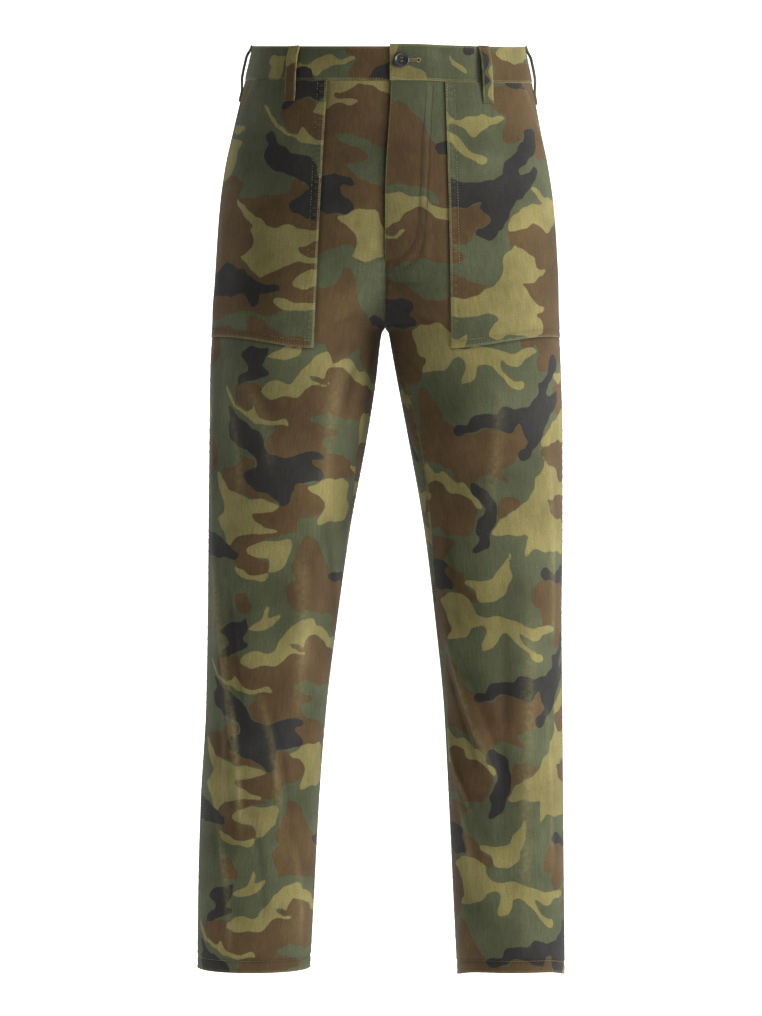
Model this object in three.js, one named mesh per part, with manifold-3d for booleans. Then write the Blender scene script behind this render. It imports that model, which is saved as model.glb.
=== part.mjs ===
// Camouflage fatigue trousers in their worn shape, with no wearer, in millimetres.
// +Z is up, the front faces -Y and the wearer's left is +X.
// The origin is the middle of the waist, half way up the waistband at the sides.
import * as THREE from "three";
import { mergeVertices } from "three/addons/utils/BufferGeometryUtils.js";
import Module from "manifold-3d";

const wasm = await Module();
wasm.setup();

// Walls and the gap that parts pieces at a seam.
const cloth = 1.5;
const patchCloth = 1.3;
const bandCloth = 2.4;
const bandProud = 0.6; // the waistband stands this far out of the panels
const hemExtra = 0.9; // the turned hem is thicker by this much
const seamGap = 0.3;
const patchGap = 0.4; // between a patch pocket and the panel under it

// Heights along the side of the body.
const bandTop = { left: 21, right: 18.5 };
const waistSeam = -20;
const crotchZ = -300;
const hemStitch = -1009;
const hemZ = -1022;

// The body's halves part over this height above the crotch.
const forkHeight = 230;
const forkPower = 2.5;
const settledZ = -420; // the back's columns run straight down from here
const roundness = 2.2; // exponent of the rounded sections, 2 is an ellipse

// The waist runs lower in front and higher behind.
const frontDrop = 14;
const backRise = 10;
const tiltFadeZ = -200;
const sideDrop = { left: 3.5, right: 0 }; // the outer side hangs lower by this

// The left hem hangs lower at its sides and back than in front.
const hemDrop = { left: 8, right: 0 };
const hemDropStart = -880;

// Fly, a left front that laps over a shield.
const flyBottom = -232;
const flyRaise = cloth + seamGap;
const flyFlat = 42; // the front lies raised up to this far from the middle
const flyRamp = 54; // and is back on the body here
const shieldWidth = 38;
const shieldBottom = -224;
const flyTopEdge = 7; // the fly's edge stands off the middle at the waist
const flyEdgeEnd = -160; // and runs back to it by here
const flyTuck = 2.5; // the right front runs this far under the fly
const flyTuckEnd = -208;

// Waistband ends.
const bandRaise = bandCloth + seamGap;
const bandLap = 40; // the right end runs this far under the left one
const bandEdge = 5;
const bandFlat = 44;
const bandRamp = 66;

// Patch pockets.
const pocketBottom = -328;
const pocketSlant = 15; // its bottom edge rises this much towards the outseam
const pocketSlantReach = 110;
const openingEnd = -165; // the slanted opening ends in the outseam here

// Belt loops.
const loopWidth = 13;
const loopCloth = 2.4;
const loopGap = 3.6; // between the loop and the waistband

// Button.
const buttonRadius = 8.5;
const buttonThick = 3;
const buttonX = 17.7;
const buttonZ = 2.4; // above the waistband's middle line, before the waist's slope
const buttonHole = 1;
const buttonHolePitch = 1.7;

const degree = Math.PI / 180;
const outseam = 10 * degree; // the outseam lies this far in front of the side
const seamInset = 0.1 * degree; // half a seam gap as an angle

// Turns rows of numbers into rows with named columns.
function table(columns, rows) {
  const names = columns.split(" ");
  return rows.map((row) =>
    Object.fromEntries(names.map((name, k) => [name, row[k]])),
  );
}

// The worn shape, from the waistband down: half widths on each side, how far
// the inside of each leg lies from the middle, and the depths.
const sections = table(
  "z outerRight outerLeft innerRight innerLeft front back",
  [
    [20, 149, 158, 0, 0, 108, 112],
    [-20, 158, 166, 0, 0, 113, 118],
    [-75, 171, 176, 0, 0, 120, 129],
    [-120, 181, 185, 0, 0, 124, 137],
    [-165, 187, 191, 0, 0, 126, 142],
    [-210, 190, 194, 0, 0, 127, 143],
    [-256, 192, 195.5, 0, 0, 126, 138],
    [-300, 194, 195.5, 0, 0, 123, 127],
    [-306, 194, 196, 3.6, 3.8, 122.5, 125],
    [-324, 195, 196.5, 6.4, 7, 121, 120],
    [-357, 197, 198, 10, 13, 117, 112],
    [-425, 198, 200, 20.5, 26, 110, 102],
    [-527, 199, 200, 39.5, 44, 99, 91],
    [-629, 200, 199, 54, 56.5, 89, 83],
    [-730, 202, 200, 66.5, 66.5, 80, 78],
    [-832, 208, 201, 74.5, 72, 73, 75],
    [-934, 211, 202, 80, 77, 67, 72],
    [-1020, 212, 203, 84.5, 81.5, 63, 70],
  ],
);

// Where the inseam runs, in degrees round the leg from its outer side to the
// front. The left leg's turns to the front below the crotch.
const inseams = table("z right left", [
  [-300, 180, 180],
  [-340, 178, 165],
  [-391, 177, 150],
  [-440, 176, 147],
  [-500, 176, 150],
  [-561, 176, 157],
  [-640, 176, 165],
  [-800, 176, 172],
  [-1020, 176, 175],
]);

// The patch pocket's inner edge, from the middle of the front.
const pocketEdges = table("z right left", [
  [-20, 64, 66],
  [-180, 72, 70],
  [-328, 79, 73],
]);

// The pocket's opening, in degrees round the side.
const openings = table("z angle", [
  [-20, 27],
  [-35, 21.5],
  [-55, 17],
  [-90, 14],
  [openingEnd, 12],
]);

// The largest folds. Each runs from one point to another, given by its leg,
// degrees round it and height, with its half width and its height, which is
// below zero for a trough.
const folds = table("leg fromAngle fromZ toAngle toZ width height", [
  ["right", 24, -175, 29, -560, 11, 3],
  ["right", 30, -560, 68, -860, 11, 3.5],
  ["right", 44, -600, 52, -900, 10, -2.5],
  ["right", 117, -430, 112, -760, 20, 2.5],
  ["right", 150, -520, 122, -880, 16, -2.5],
  ["right", 196, -560, 222, -700, 14, 3],
  ["right", 262, -590, 215, -690, 14, -3],
  ["right", 320, -480, 305, -900, 18, 3],
  ["right", 290, -250, 215, -335, 18, -4],
  ["left", 146, -640, 100, -810, 11, 4],
  ["left", 136, -650, 92, -810, 11, -3],
  ["left", 160, -740, 120, -890, 11, 3.5],
  ["left", 62, -500, 67, -985, 19, 3],
  ["left", 90, -560, 96, -960, 17, -2],
  ["left", 200, -560, 228, -700, 14, 3],
  ["left", 268, -600, 216, -700, 14, -3],
  ["left", 316, -470, 306, -880, 18, 3],
  ["left", 288, -255, 215, -340, 18, -4],
]);
const foldRadius = 85; // turns an angle round the leg into a length

const lerp = (from, to, share) => from + (to - from) * share;
const clamp01 = (value) => Math.min(1, Math.max(0, value));
function smooth(from, to, value) {
  const share = clamp01((value - from) / (to - from));
  return share * share * (3 - 2 * share);
}

// Reads a column at a height, on a curve through the rows that never
// overshoots them.
function read(rows, column, z) {
  const at = rows.map((row) => row.z);
  const value = rows.map((row) => row[column]);
  const last = rows.length - 1;
  if (z >= at[0]) return value[0];
  if (z <= at[last]) return value[last];
  const slopes = value
    .slice(1)
    .map((next, k) => (next - value[k]) / (at[k + 1] - at[k]));
  const tangent = (k) => {
    if (k === 0) return slopes[0];
    if (k === last) return slopes[last - 1];
    const before = slopes[k - 1];
    const after = slopes[k];
    return before * after <= 0 ? 0 : (2 * before * after) / (before + after);
  };
  const k = at.findIndex((height) => height < z) - 1;
  const step = at[k + 1] - at[k];
  const t = (z - at[k]) / step;
  const bend = t * t * (3 - 2 * t);
  return (
    lerp(value[k], value[k + 1], bend) +
    step * tangent(k) * t * (1 - t) * (1 - t) +
    step * tangent(k + 1) * t * t * (t - 1)
  );
}

const legName = (side) => (side > 0 ? "left" : "right");
const sideName = (side) => (side > 0 ? "Left" : "Right");

// The rounded section of one half of the body, or of one leg, at a height.
// Above the crotch, share says how much of the section's inner side is cut
// off by the middle plane: 1 at the crotch and 0 where the halves are one.
function sectionAt(side, z) {
  const outer = read(sections, "outer" + sideName(side), z);
  const inner = read(sections, "inner" + sideName(side), z);
  const front = read(sections, "front", z);
  const back = read(sections, "back", z);
  const share =
    clamp01((crotchZ + forkHeight - z) / forkHeight) ** forkPower;
  const fork = z >= crotchZ;
  const half = fork ? outer / (1 + share) : (outer - inner) / 2;
  return {
    centre: fork ? share * half : (outer + inner) / 2,
    half,
    depth: (front + back) / 2,
    middle: (back - front) / 2,
    share: fork ? share : 1,
  };
}

// Unit coordinates of the rounded section at an angle: 0 is the outer side,
// 90 degrees the front and -90 the back.
function unit(angle) {
  const c = Math.cos(angle);
  const s = Math.sin(angle);
  const k =
    (Math.abs(c) ** roundness + Math.abs(s) ** roundness) ** (-1 / roundness);
  return { c: c * k, s: s * k };
}

// The angle at which a section has a given unit width on its front half.
function angleAtWidth(c) {
  const rest = Math.max(0, 1 - Math.abs(c) ** roundness) ** (1 / roundness);
  return Math.atan2(rest, c);
}

// How far a point lies out of the plain section because of the folds.
function foldHeight(side, angle, z) {
  const round = ((angle / degree) % 360 + 360) % 360;
  let height = 0;
  for (const fold of folds) {
    if (fold.leg !== legName(side)) continue;
    const toLength = degree * foldRadius;
    const alongX = (fold.toAngle - fold.fromAngle) * toLength;
    const alongZ = fold.toZ - fold.fromZ;
    const dx = (round - fold.fromAngle) * toLength;
    const dz = z - fold.fromZ;
    const length2 = alongX ** 2 + alongZ ** 2;
    const share = (dx * alongX + dz * alongZ) / length2;
    const off = (dx * alongZ - dz * alongX) / Math.sqrt(length2);
    const ends = smooth(-0.12, 0.25, share) * (1 - smooth(0.75, 1.12, share));
    height += fold.height * ends * Math.exp(-((off / fold.width) ** 2));
  }
  return height;
}

// The waist's slope, the slant of the pocket's bottom edge and the hem's drop.
function slope(section, { c, s }, z, side) {
  const name = legName(side);
  const tilt = s * (s > 0 ? -frontDrop : -backRise);
  const drop = sideDrop[name] * smooth(0, 1, c);
  const waist = smooth(tiltFadeZ, waistSeam, z) * (tilt - drop);
  const hem = hemDrop[name] * smooth(hemDropStart, hemZ, z) * smooth(1, 0, s);
  const edge = (pocketX(side, pocketBottom) - section.centre) / section.half;
  const near = 1 - smooth(0, pocketSlantReach, Math.abs(z - pocketBottom));
  const behind = smooth(-0.9, 0, s);
  return waist - hem + pocketSlant * near * behind * smooth(edge, 1, c);
}

const pocketX = (side, z) => read(pocketEdges, legName(side), z);

// A point on the body, at an angle round one half or leg. gap parts the
// halves at the middle plane.
function bodyPoint(side, angle, z, gap = seamGap / 2) {
  const section = sectionAt(side, z);
  const at = unit(angle);
  const x = section.centre + section.half * at.c + gap;
  const y = section.middle - section.depth * at.s;
  const power = roundness - 1;
  const out = new THREE.Vector2(
    (Math.sign(at.c) * Math.abs(at.c) ** power) / section.half,
    (-Math.sign(at.s) * Math.abs(at.s) ** power) / section.depth,
  ).normalize();
  const clearOfMiddle = z > crotchZ - 30 ? smooth(4, 26, x) : 1;
  const rise = foldHeight(side, angle, z) * clearOfMiddle;
  return new THREE.Vector3(
    side * (x + out.x * rise),
    y + out.y * rise,
    z + slope(section, at, z, side),
  );
}

// The outward normal there, from neighbouring points.
function bodyNormal(side, angle, z) {
  const turn = 1.5 * degree;
  const step = 3;
  const round = bodyPoint(side, angle + turn, z).sub(
    bodyPoint(side, angle - turn, z),
  );
  const up = bodyPoint(side, angle, z + step).sub(
    bodyPoint(side, angle, z - step),
  );
  return round.cross(up).normalize().multiplyScalar(-side);
}

// A body point moved out by a distance.
function lifted(side, angle, z, distance, gap) {
  return bodyPoint(side, angle, z, gap).addScaledVector(
    bodyNormal(side, angle, z),
    distance,
  );
}

// A closed wall between two grids of points with the same rows and columns.
function wall(outer, inner) {
  const rows = outer.length;
  const columns = outer[0].length;
  const points = [...outer.flat(), ...inner.flat()];
  const layer = rows * columns;
  const id = (side, i, j) => side * layer + i * columns + j;
  const triangles = [];
  const quad = (a, b, c, d) => triangles.push(a, b, c, a, c, d);
  for (let i = 0; i + 1 < rows; i += 1) {
    for (let j = 0; j + 1 < columns; j += 1) {
      quad(id(0, i, j), id(0, i + 1, j), id(0, i + 1, j + 1), id(0, i, j + 1));
      quad(id(1, i, j), id(1, i, j + 1), id(1, i + 1, j + 1), id(1, i + 1, j));
    }
  }
  const rim = [];
  for (let j = 0; j + 1 < columns; j += 1) rim.push([0, j]);
  for (let i = 0; i + 1 < rows; i += 1) rim.push([i, columns - 1]);
  for (let j = columns - 1; j > 0; j -= 1) rim.push([rows - 1, j]);
  for (let i = rows - 1; i > 0; i -= 1) rim.push([i, 0]);
  rim.forEach(([i, j], k) => {
    const [nextI, nextJ] = rim[(k + 1) % rim.length];
    quad(id(0, i, j), id(0, nextI, nextJ), id(1, nextI, nextJ), id(1, i, j));
  });
  return facingOut(points, triangles);
}

// A geometry whose faces point out, whichever way its grid ran.
function facingOut(points, triangles) {
  let volume = 0;
  const cross = new THREE.Vector3();
  for (let k = 0; k < triangles.length; k += 3) {
    const [a, b, c] = [0, 1, 2].map((n) => points[triangles[k + n]]);
    volume += a.dot(cross.crossVectors(b, c));
  }
  const index = volume < 0 ? triangles.slice().reverse() : triangles;
  const geometry = new THREE.BufferGeometry().setFromPoints(points);
  geometry.setIndex(index);
  geometry.computeVertexNormals();
  return geometry;
}

// Heights of the panel's rows: close together round the crotch.
function panelRows() {
  const torso = [waistSeam - seamGap / 2, -38, -60, -84, -110, -138, -165, -190];
  const fly = [-208, shieldBottom, flyBottom];
  const fork = [-250, -266, -279, -289, -296, crotchZ, -304, -312, pocketBottom];
  const leg = [];
  const legRows = 14;
  for (let k = 1; k <= legRows; k += 1) {
    leg.push(lerp(pocketBottom, hemStitch, k / legRows));
  }
  return [...torso, ...fly, ...fork, ...leg, hemZ];
}

const rows = panelRows();
const pocketRow = rows.indexOf(pocketBottom);
const innerColumns = 6; // from the middle or the inseam to the pocket's edge
const pocketColumns = 8; // from there to the pocket's opening
const sideColumns = 2; // from there to the outseam
const backColumns = 13;

// Where the front panel's inner edge is, as an angle: on the middle plane
// above the crotch, and at the inseam below it.
function innerAngle(side, z) {
  if (z >= crotchZ) {
    return angleAtWidth(-sectionAt(side, z).share);
  }
  return read(inseams, legName(side), z) * degree;
}

// Values evenly spread from one to another.
function spread(from, to, steps) {
  return Array.from({ length: steps + 1 }, (_, k) => lerp(from, to, k / steps));
}

function angleAtX(side, x, z) {
  const section = sectionAt(side, z);
  return angleAtWidth((x - section.centre) / section.half);
}

// The pocket's inner edge as an angle, carried on down the leg.
function pocketAngle(side, z) {
  if (z >= pocketBottom) return angleAtX(side, pocketX(side, z), z);
  return angleAtX(side, pocketX(side, pocketBottom), pocketBottom);
}

// How far the fly's edge, and the right front under it, lie past the middle.
const flyEdge = (z) => flyTopEdge * smooth(flyEdgeEnd, 0, z);
const flyUnder = (z) =>
  (flyEdge(z) + flyTuck) * smooth(shieldBottom, flyTuckEnd, z);

function frontStart(side, z) {
  if (z <= flyBottom) return innerAngle(side, z);
  return angleAtX(side, side > 0 ? flyEdge(z) : -flyUnder(z), z);
}

function frontAngles(side, z) {
  const start = frontStart(side, z);
  const edge = pocketAngle(side, z);
  const opening = read(openings, "angle", z) * degree;
  return [
    ...spread(start - seamInset, edge, innerColumns).slice(0, -1),
    ...spread(edge, opening, pocketColumns).slice(0, -1),
    ...spread(opening, outseam + seamInset, sideColumns),
  ];
}

// The back's columns keep their places down the seat: only those near the
// inner edge follow it round the crotch.
function backAngles(side, z) {
  const start = outseam - seamInset;
  const inseam = read(inseams, legName(side), z) * degree - 2 * Math.PI;
  const settled = lerp(-Math.PI / 2, inseam, smooth(waistSeam, settledZ, z));
  const end = (z >= crotchZ ? -innerAngle(side, z) : inseam) + seamInset;
  return spread(0, 1, backColumns).map(
    (share) => lerp(start, settled, share) + (end - settled) * share ** 4,
  );
}

// How far the left front is raised to lap over the fly's shield.
function flyHeight(side, angle, z) {
  if (side < 0) return 0;
  const section = sectionAt(side, z);
  const x = section.centre + section.half * unit(angle).c;
  const down = smooth(flyBottom, shieldBottom, z);
  return flyRaise * down * (1 - smooth(flyFlat, flyRamp, x));
}

const wallAt = (z) => cloth + (z <= hemStitch ? hemExtra : 0);

function panel(side, anglesAt, raise) {
  const grid = (depth) =>
    rows.map((z) =>
      anglesAt(side, z).map((angle) =>
        lifted(side, angle, z, raise(side, angle, z) - depth(z)),
      ),
    );
  return wall(
    grid(() => 0),
    grid(wallAt),
  );
}

const frontPanel = (side) => panel(side, frontAngles, flyHeight);
const backPanel = (side) => panel(side, backAngles, () => 0);

// A patch pocket on the front panel's own points, moved out. Its outer edge
// leaves the outseam at the top, for the slanted opening.
function pocket(side) {
  const grid = (distance) =>
    rows.slice(0, pocketRow + 1).map((z) =>
      frontAngles(side, z)
        .slice(innerColumns, innerColumns + pocketColumns + 1)
        .map((angle) => lifted(side, angle, z, distance)),
    );
  return wall(grid(patchGap + patchCloth), grid(patchGap));
}

// The fly's shield, behind the left front.
function flyShield() {
  const columns = 4;
  const heights = rows.filter((z) => z > shieldBottom);
  const grid = (distance) =>
    [...heights, shieldBottom].map((z) => {
      const start = angleAtX(1, flyUnder(z) + seamGap, z);
      const end = angleAtX(1, shieldWidth, z);
      return spread(start, end, columns).map((angle) =>
        lifted(1, angle, z, distance),
      );
    });
  return wall(grid(0), grid(-cloth));
}

// A point of the waistband at an angle round the body: 0 is the middle of
// the front, and the left side is above zero.
function bandPoint(round, z, distance) {
  const side = round > 0 ? 1 : -1;
  return lifted(side, Math.PI / 2 - Math.abs(round), z, distance, 0);
}

function waistband(from, to, top, raise) {
  const columns = 26;
  const heights = [top, 7, -7, waistSeam + seamGap / 2];
  const grid = (depth) =>
    heights.map((z) =>
      spread(from, to, columns).map((round) =>
        bandPoint(round, z, bandProud + raise(round) - depth),
      ),
    );
  return wall(grid(0), grid(bandCloth));
}

const bandRound = (x) => Math.PI / 2 - angleAtX(1, x, 0);

function leftBand() {
  const raise = (round) =>
    bandRaise * (1 - smooth(bandRound(bandFlat), bandRound(bandRamp), round));
  const end = Math.PI - seamInset;
  return waistband(bandRound(bandEdge), end, bandTop.left, raise);
}

function rightBand() {
  const end = seamInset - Math.PI;
  return waistband(bandRound(bandLap), end, bandTop.right, () => 0);
}

// A belt loop: sewn down at the waistband's top edge and below the waist
// seam, and standing off in between. seat is how far out its foot lies. The
// heights above zero are shares of the waistband's top.
const loopPath = table("z lift", [
  [1.02, 0],
  [0.8, 0.1],
  [0.6, 0.55],
  [0.35, 0.95],
  [0, 1],
  [-8, 1],
  [-16, 0.9],
  [-23, 0.6],
  [-30, 0.15],
  [-34, 0],
  [-44, 0],
]);

function beltLoop(side, angle, seat) {
  const middle = bodyPoint(side, angle, 0, 0);
  const out = bodyNormal(side, angle, 0).setZ(0).normalize();
  const across = new THREE.Vector3(-out.y, out.x, 0);
  const top = bandProud + seamGap;
  const grid = (distance) =>
    loopPath.map((row) => {
      const z = row.z > 0 ? row.z * bandTop[legName(side)] : row.z;
      const base = z > waistSeam ? top : seat;
      const centre = bodyPoint(side, angle, z, 0).addScaledVector(
        out,
        lerp(base, bandProud + loopGap, row.lift) + distance,
      );
      centre.addScaledVector(across, across.dot(middle) - across.dot(centre));
      return [-0.5, 0, 0.5].map((share) =>
        centre.clone().addScaledVector(across, share * loopWidth),
      );
    });
  return wall(grid(loopCloth), grid(0));
}

// A geometry as a solid for cutting, and back.
function solid(geometry) {
  const bare = geometry.clone();
  bare.deleteAttribute("normal");
  bare.deleteAttribute("uv");
  const merged = mergeVertices(bare, 1e-4);
  return new wasm.Manifold(
    new wasm.Mesh({
      numProp: 3,
      vertProperties: merged.attributes.position.array,
      triVerts: new Uint32Array(merged.index.array),
    }),
  );
}

function geometryOf(manifold) {
  const mesh = manifold.getMesh();
  const geometry = new THREE.BufferGeometry();
  geometry.setAttribute(
    "position",
    new THREE.BufferAttribute(mesh.vertProperties, 3),
  );
  geometry.setIndex(new THREE.BufferAttribute(mesh.triVerts, 1));
  geometry.computeVertexNormals();
  return geometry;
}

// A round button with a raised rim, a dished middle and four holes.
function button() {
  const profile = [
    [0, 0],
    [buttonRadius - 1.2, 0],
    [buttonRadius, 1],
    [buttonRadius, buttonThick - 0.8],
    [buttonRadius - 0.9, buttonThick],
    [buttonRadius - 2, buttonThick - 0.3],
    [buttonRadius - 2.8, buttonThick - 1.1],
    [0, buttonThick - 1.1],
  ].map(([radius, height]) => new THREE.Vector2(radius, height));
  let body = solid(new THREE.LatheGeometry(profile, 28));
  for (const [x, y] of [
    [-1, -1],
    [1, -1],
    [1, 1],
    [-1, 1],
  ]) {
    const drill = new THREE.CylinderGeometry(buttonHole, buttonHole, 12, 10);
    drill.translate(x * buttonHolePitch, 0, y * buttonHolePitch);
    body = body.subtract(solid(drill));
  }
  return geometryOf(body);
}

// Seats the button on the lapped end of the waistband.
function placeButton(mesh) {
  const angle = angleAtX(1, buttonX, 0);
  const out = bodyNormal(1, angle, buttonZ);
  const distance = bandProud + bandRaise + seamGap;
  mesh.position.copy(bodyPoint(1, angle, buttonZ, 0));
  mesh.position.addScaledVector(out, distance);
  mesh.quaternion.setFromUnitVectors(new THREE.Vector3(0, 1, 0), out);
}

const finishes = {
  olive: new THREE.MeshStandardMaterial({ color: 0x4f5638, roughness: 0.92 }),
  brown: new THREE.MeshStandardMaterial({ color: 0x4a3826, roughness: 0.92 }),
  horn: new THREE.MeshStandardMaterial({ color: 0x2a2a2c, roughness: 0.35 }),
};

function mesh(name, geometry, finish) {
  const made = new THREE.Mesh(geometry, finishes[finish]);
  made.name = name;
  return made;
}

const frontLoopX = { left: 109.7, right: 101 };
const sideLoopAngle = -4 * degree;
const backMiddle = -90 * degree;
const onPanel = seamGap;
const onPocket = patchGap + patchCloth + seamGap;

const trousers = new THREE.Group();
for (const side of [1, -1]) {
  const name = legName(side);
  const frontLoop = angleAtX(side, frontLoopX[name], 0);
  trousers.add(
    mesh("front_" + name, frontPanel(side), "olive"),
    mesh("back_" + name, backPanel(side), "olive"),
    mesh("pocket_" + name, pocket(side), "olive"),
    mesh("loop_front_" + name, beltLoop(side, frontLoop, onPocket), "brown"),
    mesh("loop_side_" + name, beltLoop(side, sideLoopAngle, onPanel), "brown"),
  );
}
const fastening = mesh("waist_button", button(), "horn");
placeButton(fastening);
trousers.add(
  mesh("waistband_left", leftBand(), "olive"),
  mesh("waistband_right", rightBand(), "olive"),
  mesh("fly_shield", flyShield(), "olive"),
  mesh("loop_back", beltLoop(1, backMiddle, onPanel), "brown"),
  fastening,
);

export default trousers;
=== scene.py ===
import math

import bpy
import numpy as np
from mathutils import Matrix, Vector


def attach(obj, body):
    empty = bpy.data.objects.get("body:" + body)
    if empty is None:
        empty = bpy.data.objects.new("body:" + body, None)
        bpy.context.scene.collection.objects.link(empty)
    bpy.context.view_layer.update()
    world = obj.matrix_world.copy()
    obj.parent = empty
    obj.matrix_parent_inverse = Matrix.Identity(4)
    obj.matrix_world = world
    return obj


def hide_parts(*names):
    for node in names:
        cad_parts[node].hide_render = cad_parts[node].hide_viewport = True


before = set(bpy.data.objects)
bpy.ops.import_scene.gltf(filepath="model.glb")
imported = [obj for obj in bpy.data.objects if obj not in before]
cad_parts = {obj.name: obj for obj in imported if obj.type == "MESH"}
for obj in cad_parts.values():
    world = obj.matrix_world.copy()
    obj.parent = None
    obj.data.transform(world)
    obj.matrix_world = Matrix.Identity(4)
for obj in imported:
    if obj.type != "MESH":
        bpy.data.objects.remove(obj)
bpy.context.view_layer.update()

# The object's sizes, in millimetres, as in the part's source.
BAND_TOP = {"left": 21.0, "right": 18.5}
WAIST_SEAM = -20.0
CROTCH_Z = -300.0
HEM_STITCH = -1009.0
HEM_Z = -1022.0
SEAM_GAP = 0.3
FORK_HEIGHT = 230.0
FORK_POWER = 2.5
SETTLED_Z = -420.0
ROUNDNESS = 2.2
FRONT_DROP = 14.0
BACK_RISE = 10.0
TILT_FADE_Z = -200.0
SIDE_DROP = {"left": 3.5, "right": 0.0}
HEM_DROP = {"left": 8.0, "right": 0.0}
HEM_DROP_START = -880.0
FLY_BOTTOM = -232.0
FLY_RAISE = 1.8
FLY_FLAT = 42.0
FLY_RAMP = 54.0
FLY_TOP_EDGE = 7.0
FLY_EDGE_END = -160.0
FLY_TUCK = 2.5
FLY_TUCK_END = -208.0
SHIELD_WIDTH = 38.0
SHIELD_BOTTOM = -224.0
BAND_PROUD = 0.6
BAND_CLOTH = 2.4
BAND_RAISE = 2.7
BAND_LAP = 40.0
BAND_EDGE = 5.0
BAND_FLAT = 44.0
BAND_RAMP = 66.0
POCKET_BOTTOM = -328.0
POCKET_SLANT = 15.0
POCKET_SLANT_REACH = 110.0
OPENING_END = -165.0
PATCH_GAP = 0.4
PATCH_CLOTH = 1.3
CLOTH = 1.3
HEM_CLOTH = 2.3
LOOP_WIDTH = 13.0
LOOP_CLOTH = 2.3
LOOP_GAP = 3.6
BUTTON_X = 17.7
BUTTON_Z = 2.4
BUTTON_RADIUS = 8.5
OUTSEAM = math.radians(10)
LEFT, RIGHT = 1, -1
SIDE_NAME = {LEFT: "left", RIGHT: "right"}

# The photograph's camera, and what one of its pixels spans at the body.
PIXEL_MM = 1.13
CAMERA_MM = Vector((-4.6, -4200.0, -504.0))
AXIS_COLUMN = 381.0
AXIS_ROW = 508.0
PHOTO_ROWS = 1016
SENSOR_MM = 36


def table(columns, rows):
    """Rows of numbers as a dict of named arrays."""
    names = columns.split()
    return {name: np.array([row[k] for row in rows], float) for k, name in enumerate(names)}


SECTIONS = table(
    "z outer_right outer_left inner_right inner_left front back",
    [
        (20, 149, 158, 0, 0, 108, 112),
        (-20, 158, 166, 0, 0, 113, 118),
        (-75, 171, 176, 0, 0, 120, 129),
        (-120, 181, 185, 0, 0, 124, 137),
        (-165, 187, 191, 0, 0, 126, 142),
        (-210, 190, 194, 0, 0, 127, 143),
        (-256, 192, 195.5, 0, 0, 126, 138),
        (-300, 194, 195.5, 0, 0, 123, 127),
        (-306, 194, 196, 3.6, 3.8, 122.5, 125),
        (-324, 195, 196.5, 6.4, 7, 121, 120),
        (-357, 197, 198, 10, 13, 117, 112),
        (-425, 198, 200, 20.5, 26, 110, 102),
        (-527, 199, 200, 39.5, 44, 99, 91),
        (-629, 200, 199, 54, 56.5, 89, 83),
        (-730, 202, 200, 66.5, 66.5, 80, 78),
        (-832, 208, 201, 74.5, 72, 73, 75),
        (-934, 211, 202, 80, 77, 67, 72),
        (-1020, 212, 203, 84.5, 81.5, 63, 70),
    ],
)
INSEAMS = table(
    "z right left",
    [
        (-300, 180, 180),
        (-340, 178, 165),
        (-391, 177, 150),
        (-440, 176, 147),
        (-500, 176, 150),
        (-561, 176, 157),
        (-640, 176, 165),
        (-800, 176, 172),
        (-1020, 176, 175),
    ],
)
POCKET_EDGES = table("z right left", [(-20, 64, 66), (-180, 72, 70), (-328, 79, 73)])
OPENINGS = table("z angle", [(-20, 27), (-35, 21.5), (-55, 17), (-90, 14), (-165, 12)])

# The largest folds, as in the solids: leg, then angle and height where each
# starts and ends, half width and height. A trough is below zero.
FOLDS = [
    (RIGHT, 24, -175, 29, -560, 11, 3),
    (RIGHT, 30, -560, 68, -860, 11, 3.5),
    (RIGHT, 44, -600, 52, -900, 10, -2.5),
    (RIGHT, 117, -430, 112, -760, 20, 2.5),
    (RIGHT, 150, -520, 122, -880, 16, -2.5),
    (RIGHT, 196, -560, 222, -700, 14, 3),
    (RIGHT, 262, -590, 215, -690, 14, -3),
    (RIGHT, 320, -480, 305, -900, 18, 3),
    (RIGHT, 290, -250, 215, -335, 18, -4),
    (LEFT, 146, -640, 100, -810, 11, 4),
    (LEFT, 136, -650, 92, -810, 11, -3),
    (LEFT, 160, -740, 120, -890, 11, 3.5),
    (LEFT, 62, -500, 67, -985, 19, 3),
    (LEFT, 90, -560, 96, -960, 17, -2),
    (LEFT, 200, -560, 228, -700, 14, 3),
    (LEFT, 268, -600, 216, -700, 14, -3),
    (LEFT, 316, -470, 306, -880, 18, 3),
    (LEFT, 288, -255, 215, -340, 18, -4),
]
FOLD_RADIUS = 85.0


def lerp(a, b, share):
    return a + (b - a) * share


def smooth(a, b, value):
    share = np.clip((np.asarray(value, float) - a) / (b - a), 0, 1)
    return share * share * (3 - 2 * share)


def bell(distance, width):
    """One on a line, and nothing beyond about two widths from it."""
    return np.exp(-((distance / width) ** 2))


def read(rows, column, z):
    """A column at heights z, on a curve through the rows that never overshoots."""
    at, value = rows["z"][::-1], rows[column][::-1]
    z = np.clip(z, at[0], at[-1])
    step = np.diff(at)
    slope = np.diff(value) / step
    inner = np.where(slope[:-1] * slope[1:] > 0, 2 * slope[:-1] * slope[1:], 0)
    total = slope[:-1] + slope[1:]
    inner = inner / np.where(total == 0, 1, total)
    tangent = np.concatenate([[slope[0]], inner, [slope[-1]]])
    k = np.clip(np.searchsorted(at, z, side="right") - 1, 0, len(step) - 1)
    t = (z - at[k]) / step[k]
    bend = t * t * (3 - 2 * t)
    curve = lerp(value[k], value[k + 1], bend)
    curve = curve + step[k] * tangent[k] * t * (1 - t) ** 2
    return curve + step[k] * tangent[k + 1] * t * t * (t - 1)


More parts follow.
